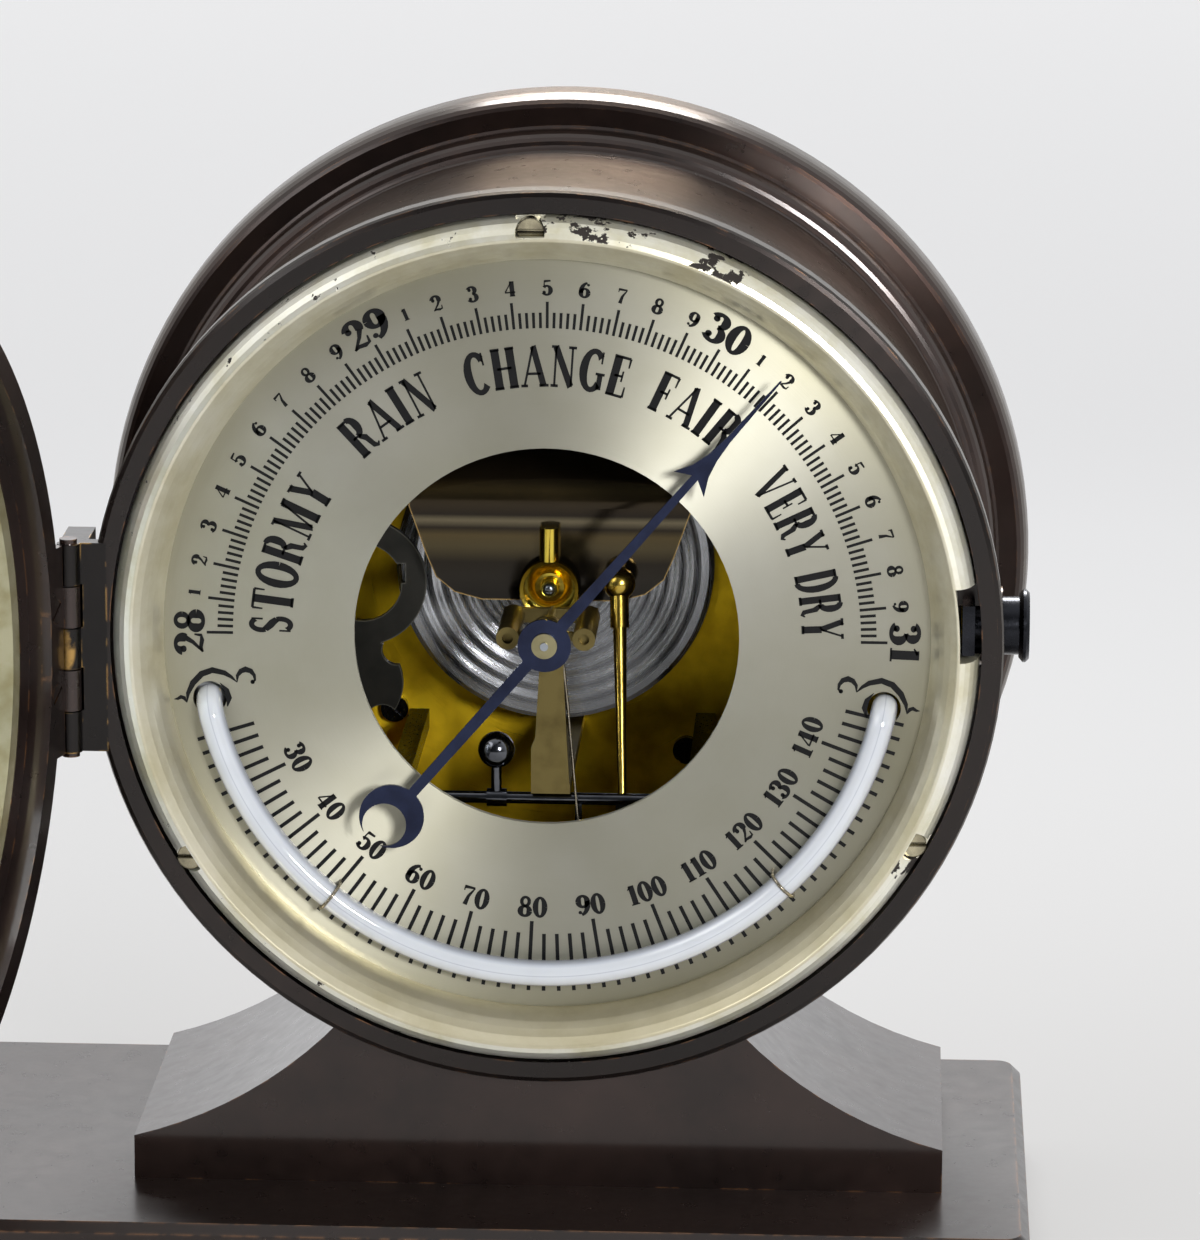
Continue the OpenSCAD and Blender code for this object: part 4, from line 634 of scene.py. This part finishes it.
# Pressure scale: 28 at 9 o'clock to 31 at 3 o'clock, in fiftieths of an inch
INCH_TURN, TENTH_TURN, LINE_TURN = 60, 6, 1.2
LINE_FOOT, LINE_TOP, TENTH_TOP, LINE_WIDTH = 46.2, 48.5, 50.1, 0.42
INCH_RADIUS, INCH_HEIGHT = 52.7, 4.4
TENTH_RADIUS, TENTH_HEIGHT, FIRST_HEIGHT = 52.2, 2.3, 1.8
for k in range(151):
    top = TENTH_TOP if k % 5 == 0 else LINE_TOP
    tick(marks, LINE_FOOT, top, 180 - LINE_TURN * k, LINE_WIDTH)
for k, text in enumerate(["28", "29", "30", "31"]):
    inch_at = 180 - INCH_TURN * k
    letter(marks, text, INCH_RADIUS, inch_at, INCH_HEIGHT, squeeze=1.16, spacing=0.04)
    if text != "31":
        # The 1 is smaller, and stands off the large figure
        letter(marks, "1", TENTH_RADIUS, inch_at - TENTH_TURN - 0.6, FIRST_HEIGHT, squeeze=1.1)
        for tenth in range(2, 10):
            tenth_at = inch_at - TENTH_TURN * tenth
            letter(marks, str(tenth), TENTH_RADIUS, tenth_at, TENTH_HEIGHT, squeeze=1.1)
# Weather words: text, angle of its middle, and how narrow it is cut
WORD_RADIUS, WORD_HEIGHT = 40.6, 6.2
WORDS = [("STORMY", 163, 0.72), ("RAIN", 125, 0.72), ("CHANGE", 90, 0.72), ("FAIR", 57.5, 0.72),
         ("VERY DRY", 19, 0.62)]
for text, middle, narrow in WORDS:
    letter(marks, text, WORD_RADIUS, middle, WORD_HEIGHT, squeeze=narrow)
# Thermometer scale: 22 to 146 in twos, its lines running out under the tube
HEAT_FOOT, HEAT_TEN_FOOT, HEAT_TOP, HEAT_WIDTH = 45.3, 43.4, 54.1, 0.55
HEAT_RADIUS, HEAT_HEIGHT = 41.2, 3.1
for heat in range(22, 147, 2):
    foot_at = HEAT_TEN_FOOT if heat % 10 == 0 else HEAT_FOOT
    tick(marks, foot_at, HEAT_TOP, heat_angle(heat), HEAT_WIDTH)
for heat in range(30, 141, 10):
    letter(marks, str(heat), HEAT_RADIUS, heat_angle(heat), HEAT_HEIGHT,
           squeeze=1.02, outward=False, spacing=0.06)
# Scrolls over the holes of the tube, drawn for the left hole and mirrored for the right one
HOLE_ARC, HOLE_ANGLE = 50.7, 191.3
hole = (HOLE_ARC * math.cos(math.radians(HOLE_ANGLE)), HOLE_ARC * math.sin(math.radians(HOLE_ANGLE)))
SCROLL = [
    [(-3.4, -0.8, 0.08), (-3.25, 0.6, 0.6), (-2.5, 2.2, 0.9), (-1.2, 3.6, 0.95), (0.4, 4.2, 0.9),
     (2.2, 3.8, 0.75), (3.2, 3.2, 0.5), (4.05, 2.4, 0.1)],
    [(4.05, 2.4, 0.12), (4.1, 3.4, 0.5), (4.6, 4.1, 0.75), (5.3, 4.4, 0.9), (6.1, 4.15, 0.75),
     (6.6, 3.5, 0.5), (6.7, 2.8, 0.35), (6.3, 2.35, 0.3)],
    [(6.35, 2.5, 0.66), "round"],
    [(-3.4, -0.8, 0.08), (-3.8, -0.1, 0.6), (-4.3, 0.05, 0.6), (-4.8, -0.25, 0.4), (-5.3, -0.3, 0.08)],
    [(1.5, 2.3, 0.06), (2.5, 1.2, 0.7), (2.85, 0, 0.85), (2.6, -1.3, 0.14)],
]
for side in (1, -1):
    for line in SCROLL:
        wax_line(marks, line, lambda u, v: (side * (hole[0] + u), hole[1] + v))
bmesh.ops.recalc_face_normals(marks, faces=marks.faces)
mesh_object("barometer_markings", marks, wax, "stand", smooth=False)

# Clock's markings: cut into its dial and filled with the same black wax as the barometer's. A
# minute track runs near the rim, and plain numerals stand round inside it.
TRACK_TOP = 53.0
MINUTE_FOOT, MINUTE_WIDTH = 51.0, 0.3
FIVE_FOOT, FIVE_WIDTH = 49.6, 0.7
HOUR_RADIUS, HOUR_HEIGHT = 42.5, 8.2
dial_centre = clock_at
marks = bmesh.new()
for minute in range(60):
    foot_at, width = (FIVE_FOOT, FIVE_WIDTH) if minute % 5 == 0 else (MINUTE_FOOT, MINUTE_WIDTH)
    tick(marks, foot_at, TRACK_TOP, 6 * minute, width)
for hour in range(1, 13):
    letter(marks, str(hour), HOUR_RADIUS, 90 - 30 * hour, HOUR_HEIGHT, squeeze=0.8, spacing=0.04)
bmesh.ops.recalc_face_normals(marks, faces=marks.faces)
mesh_object("clock_markings", marks, wax, "stand", smooth=False)

# Thermometer: a glass tube with a white enamel back, bent into the dial at both ends and held by
# two wire staples. It shines milky white, its sides are painted grey as painted shade of the round
# tube, and the bore is a hair line along its middle.
TUBE_HALF_MM = 1.95
enamel = bpy.data.materials.new("white-backed thermometer glass")
tree = emptied(enamel)
place, radius, turn = polar_place(tree, barometer_at)
aside = add(tree, "Math", {0: radius, 1: HOLE_ARC}, operation="SUBTRACT")
milky = add(tree, "TexNoise", {"Vector": place, "Scale": 1 / (8 * MM), "Detail": 2.0})
white = add(tree, "Mix", {0: milky.outputs[0], 6: colour("#bdc0c6"), 7: colour("#cacdd2")},
            data_type="RGBA")
across = add(tree, "MapRange", {0: aside.outputs[0], 1: -TUBE_HALF_MM, 2: TUBE_HALF_MM})
# Painted shade greys the tube towards both sides; the dark line in the middle is the bore
bore_and_painted_side_shade = add(tree, "ValToRGB", {0: across.outputs[0]}, ramp=[
    (0.0, "#b4b5ba"), (0.06, "#cdcfd5"), (0.13, "#eceef4"), (0.2, "#ffffff"), (0.47, "#ffffff"),
    (0.5, "#d8dae0"), (0.53, "#ffffff"), (0.86, "#ffffff"), (0.91, "#e2e0e6"), (0.96, "#bdbcc2"),
    (1.0, "#9a999e")])
tinted = add(tree, "Mix", {0: 1.0, 6: white.outputs[2], 7: bore_and_painted_side_shade.outputs[0]},
             data_type="RGBA", blend_type="MULTIPLY")
tube = add(tree, "BsdfPrincipled", {
    "Base Color": tinted.outputs[2], "Roughness": 0.1, "Coat Weight": 1.0, "Coat Roughness": 0.03,
    "IOR": 1.5, "Subsurface Weight": 0.25, "Subsurface Radius": (0.5, 0.5, 0.6), "Subsurface Scale": MM})
add(tree, "OutputMaterial", {0: tube.outputs[0]})
paint(enamel, "thermometer")
# Tinned wire, gone from silver to a warm grey
paint(plain_metal("tinned wire", "#b4ab98", "#6d6458", 0.25), "thermometer_clips", "pointer_chain")

# Hands: spring steel, filed to outline, polished and blued by heat to a deep slate blue. The hub of
# the pressure hand sits on a brass collet, with the dull steel end of the arbor in its middle.
blued = plain_metal("blued steel", "#2b3350", "#1c2138", 0.22, grain_mm=0.8, coat=0.3)
paint(blued, "pressure_hand", "minute_hand", "hour_hand", "hairspring")
arbor_end = barometer_at + Vector((0, 1.8, 0)) * MM
paint(plain_metal("brass collet, steel arbor", "#a39b78", "#857d5c", 0.35, spot=(arbor_end, 0.7)),
      "pointer_arbor")

# Movement's plate: sheet brass, gilded and brushed round the dial's axis, so that it glows yellow
# where a brush fan meets the light and goes dark beside it. Turned brass pillars carry it.
lacquered_brass = plain_metal("turned brass", "#d2b352", "#9a8038", 0.2)
gilt_plate = plain_metal("gilt movement plate", "#e6c022", "#c19a16", 0.3, metallic=0.95, grain_mm=0.2,
                         bump=0.15, turned=0.8)
dark_steel = plain_metal("dark steel", "#34353a", "#202124", 0.25)
paint(gilt_plate, "movement_plate")
paint(lacquered_brass, "movement_pillars")
paint(dark_steel, "movement_screws")

# Capsule and its spring: a corrugated box of pressed nickel silver, pumped out, held open by a leaf
# spring of tempered steel. The leaf is painted in dark brown bands, a painted reflection of what it
# mirrors, with light filed edges. Between them stands a post with a gilt washer and a steel ball.
BALL_AT_MM = Vector((-0.8, 29.6, 2.2))
paint(plain_metal("pressed nickel silver", "#d9dbe0", "#c3c5ca", 0.25, metallic=0.8, bump=0.03,
                  turned=0.7), "capsule")
# Painted reflection: dark and light bands up the leaf, for the dial's back and the window rim that it
# mirrors
painted_reflection_bands = (barometer_at.z, barometer_at.z + 29 * MM, [
    (0.0, "#23201c"), (0.12, "#2c2822"), (0.2, "#2a251d"), (0.28, "#4f4630"), (0.34, "#55492f"),
    (0.38, "#2b251c"), (0.42, "#6f6650"), (0.45, "#2a241c"), (0.52, "#3a3122"), (0.58, "#6d5c3a"),
    (0.64, "#3b3224"), (1.0, "#4a4034")])
paint(plain_metal("tempered spring steel", "#4a3c33", "#4a3c33", 0.12, metallic=0.9, grain_mm=4.0,
                  bump=0.0, coat=0.15, edge="#c7a566", bands=painted_reflection_bands), "mainspring")
paint(plain_metal("gilt washer, steel ball", "#f0d458", "#d8b63c", 0.14,
                  spot=(barometer_at + BALL_AT_MM * MM, 1.3)), "capsule_post")

# Linkage: a turned brass lever, a polished steel rocker shaft in dark steel posts, a bridge of
# brushed brass strip gone khaki, and grey steel plates of the compensation with filed edges.
paint(lacquered_brass, "main_lever")
paint(plain_metal("brushed brass strip", "#776a42", "#5c5030", 0.4), "pointer_bridge")
paint(dark_steel, "rocker_posts")
paint(plain_metal("polished steel", "#707278", "#4a4c52", 0.14), "rocker_shaft")
paint(plain_metal("grey steel plate", "#34332f", "#2a2a27", 0.4, metallic=0.85, edge="#6c6a61"),
      "lever_plates")

# Doors: bronze bezels turned like the cases, hung on leaves and pins of the same bronze. The
# barometer's hinge is nearly black, and its middle knuckle is rubbed through to the brass.
paint(case_bronze, "barometer_door", "clock_door", "barometer_door_leaf", "clock_door_leaf",
      "clock_hinge_leaf", "barometer_leaf_screws", "clock_leaf_screws", "hinge_pins")
knuckle_at = barometer_at + Vector((-70.3, 1.2, -1.5)) * MM
paint(patinated_bronze("bronze hinge, rubbed to the brass", "#1c1614", "#120e0d", coat=0.5,
                       rubbed=(knuckle_at, 3.6)), "barometer_hinge_leaf")

# Door glasses: flat plate glass, faintly green, each held from behind by a ring of silvered brass
# that has gone dull and yellow. Shadows pass the glass.
glass = bpy.data.materials.new("plate glass")
tree = emptied(glass)
clear = add(tree, "BsdfPrincipled", {
    "Base Color": colour("#eef6f6"), "Roughness": 0.01, "IOR": 1.5, "Transmission Weight": 1.0})
path = add(tree, "LightPath")
open_air = add(tree, "BsdfTransparent", {0: colour("#eef4f4")})
shadow = add(tree, "MixShader", {
    0: path.outputs["Is Shadow Ray"], 1: clear.outputs[0], 2: open_air.outputs[0]})
add(tree, "OutputMaterial", {0: shadow.outputs[0]})
paint(glass, "barometer_glass", "clock_glass")
paint(plain_metal("silvered retaining ring", "#b3ae90", "#948b64", 0.3, metallic=0.7),
      "barometer_glass_ring", "clock_glass_ring")

# Latches: push buttons at 3 o'clock, turned from steel and blackened. Each slides in a boss of its
# case, and its bolt lies in a notch of the reflector ring.
paint(dark_steel, "barometer_latch_button", "clock_latch_button")

# Clock train: wheels of pierced and lacquered brass between two brass plates, which four pairs of
# pillars hold apart. The pallets and the winding arbor are steel.
paint(lacquered_brass, "clock_front_plate", "clock_back_plate", "clock_pillars", "clock_barrel",
      "clock_centre_arbor", "clock_third_wheel", "clock_escape_wheel", "clock_balance",
      "clock_minute_wheel")
paint(screw_steel, "clock_pallets", "clock_winding_arbor")
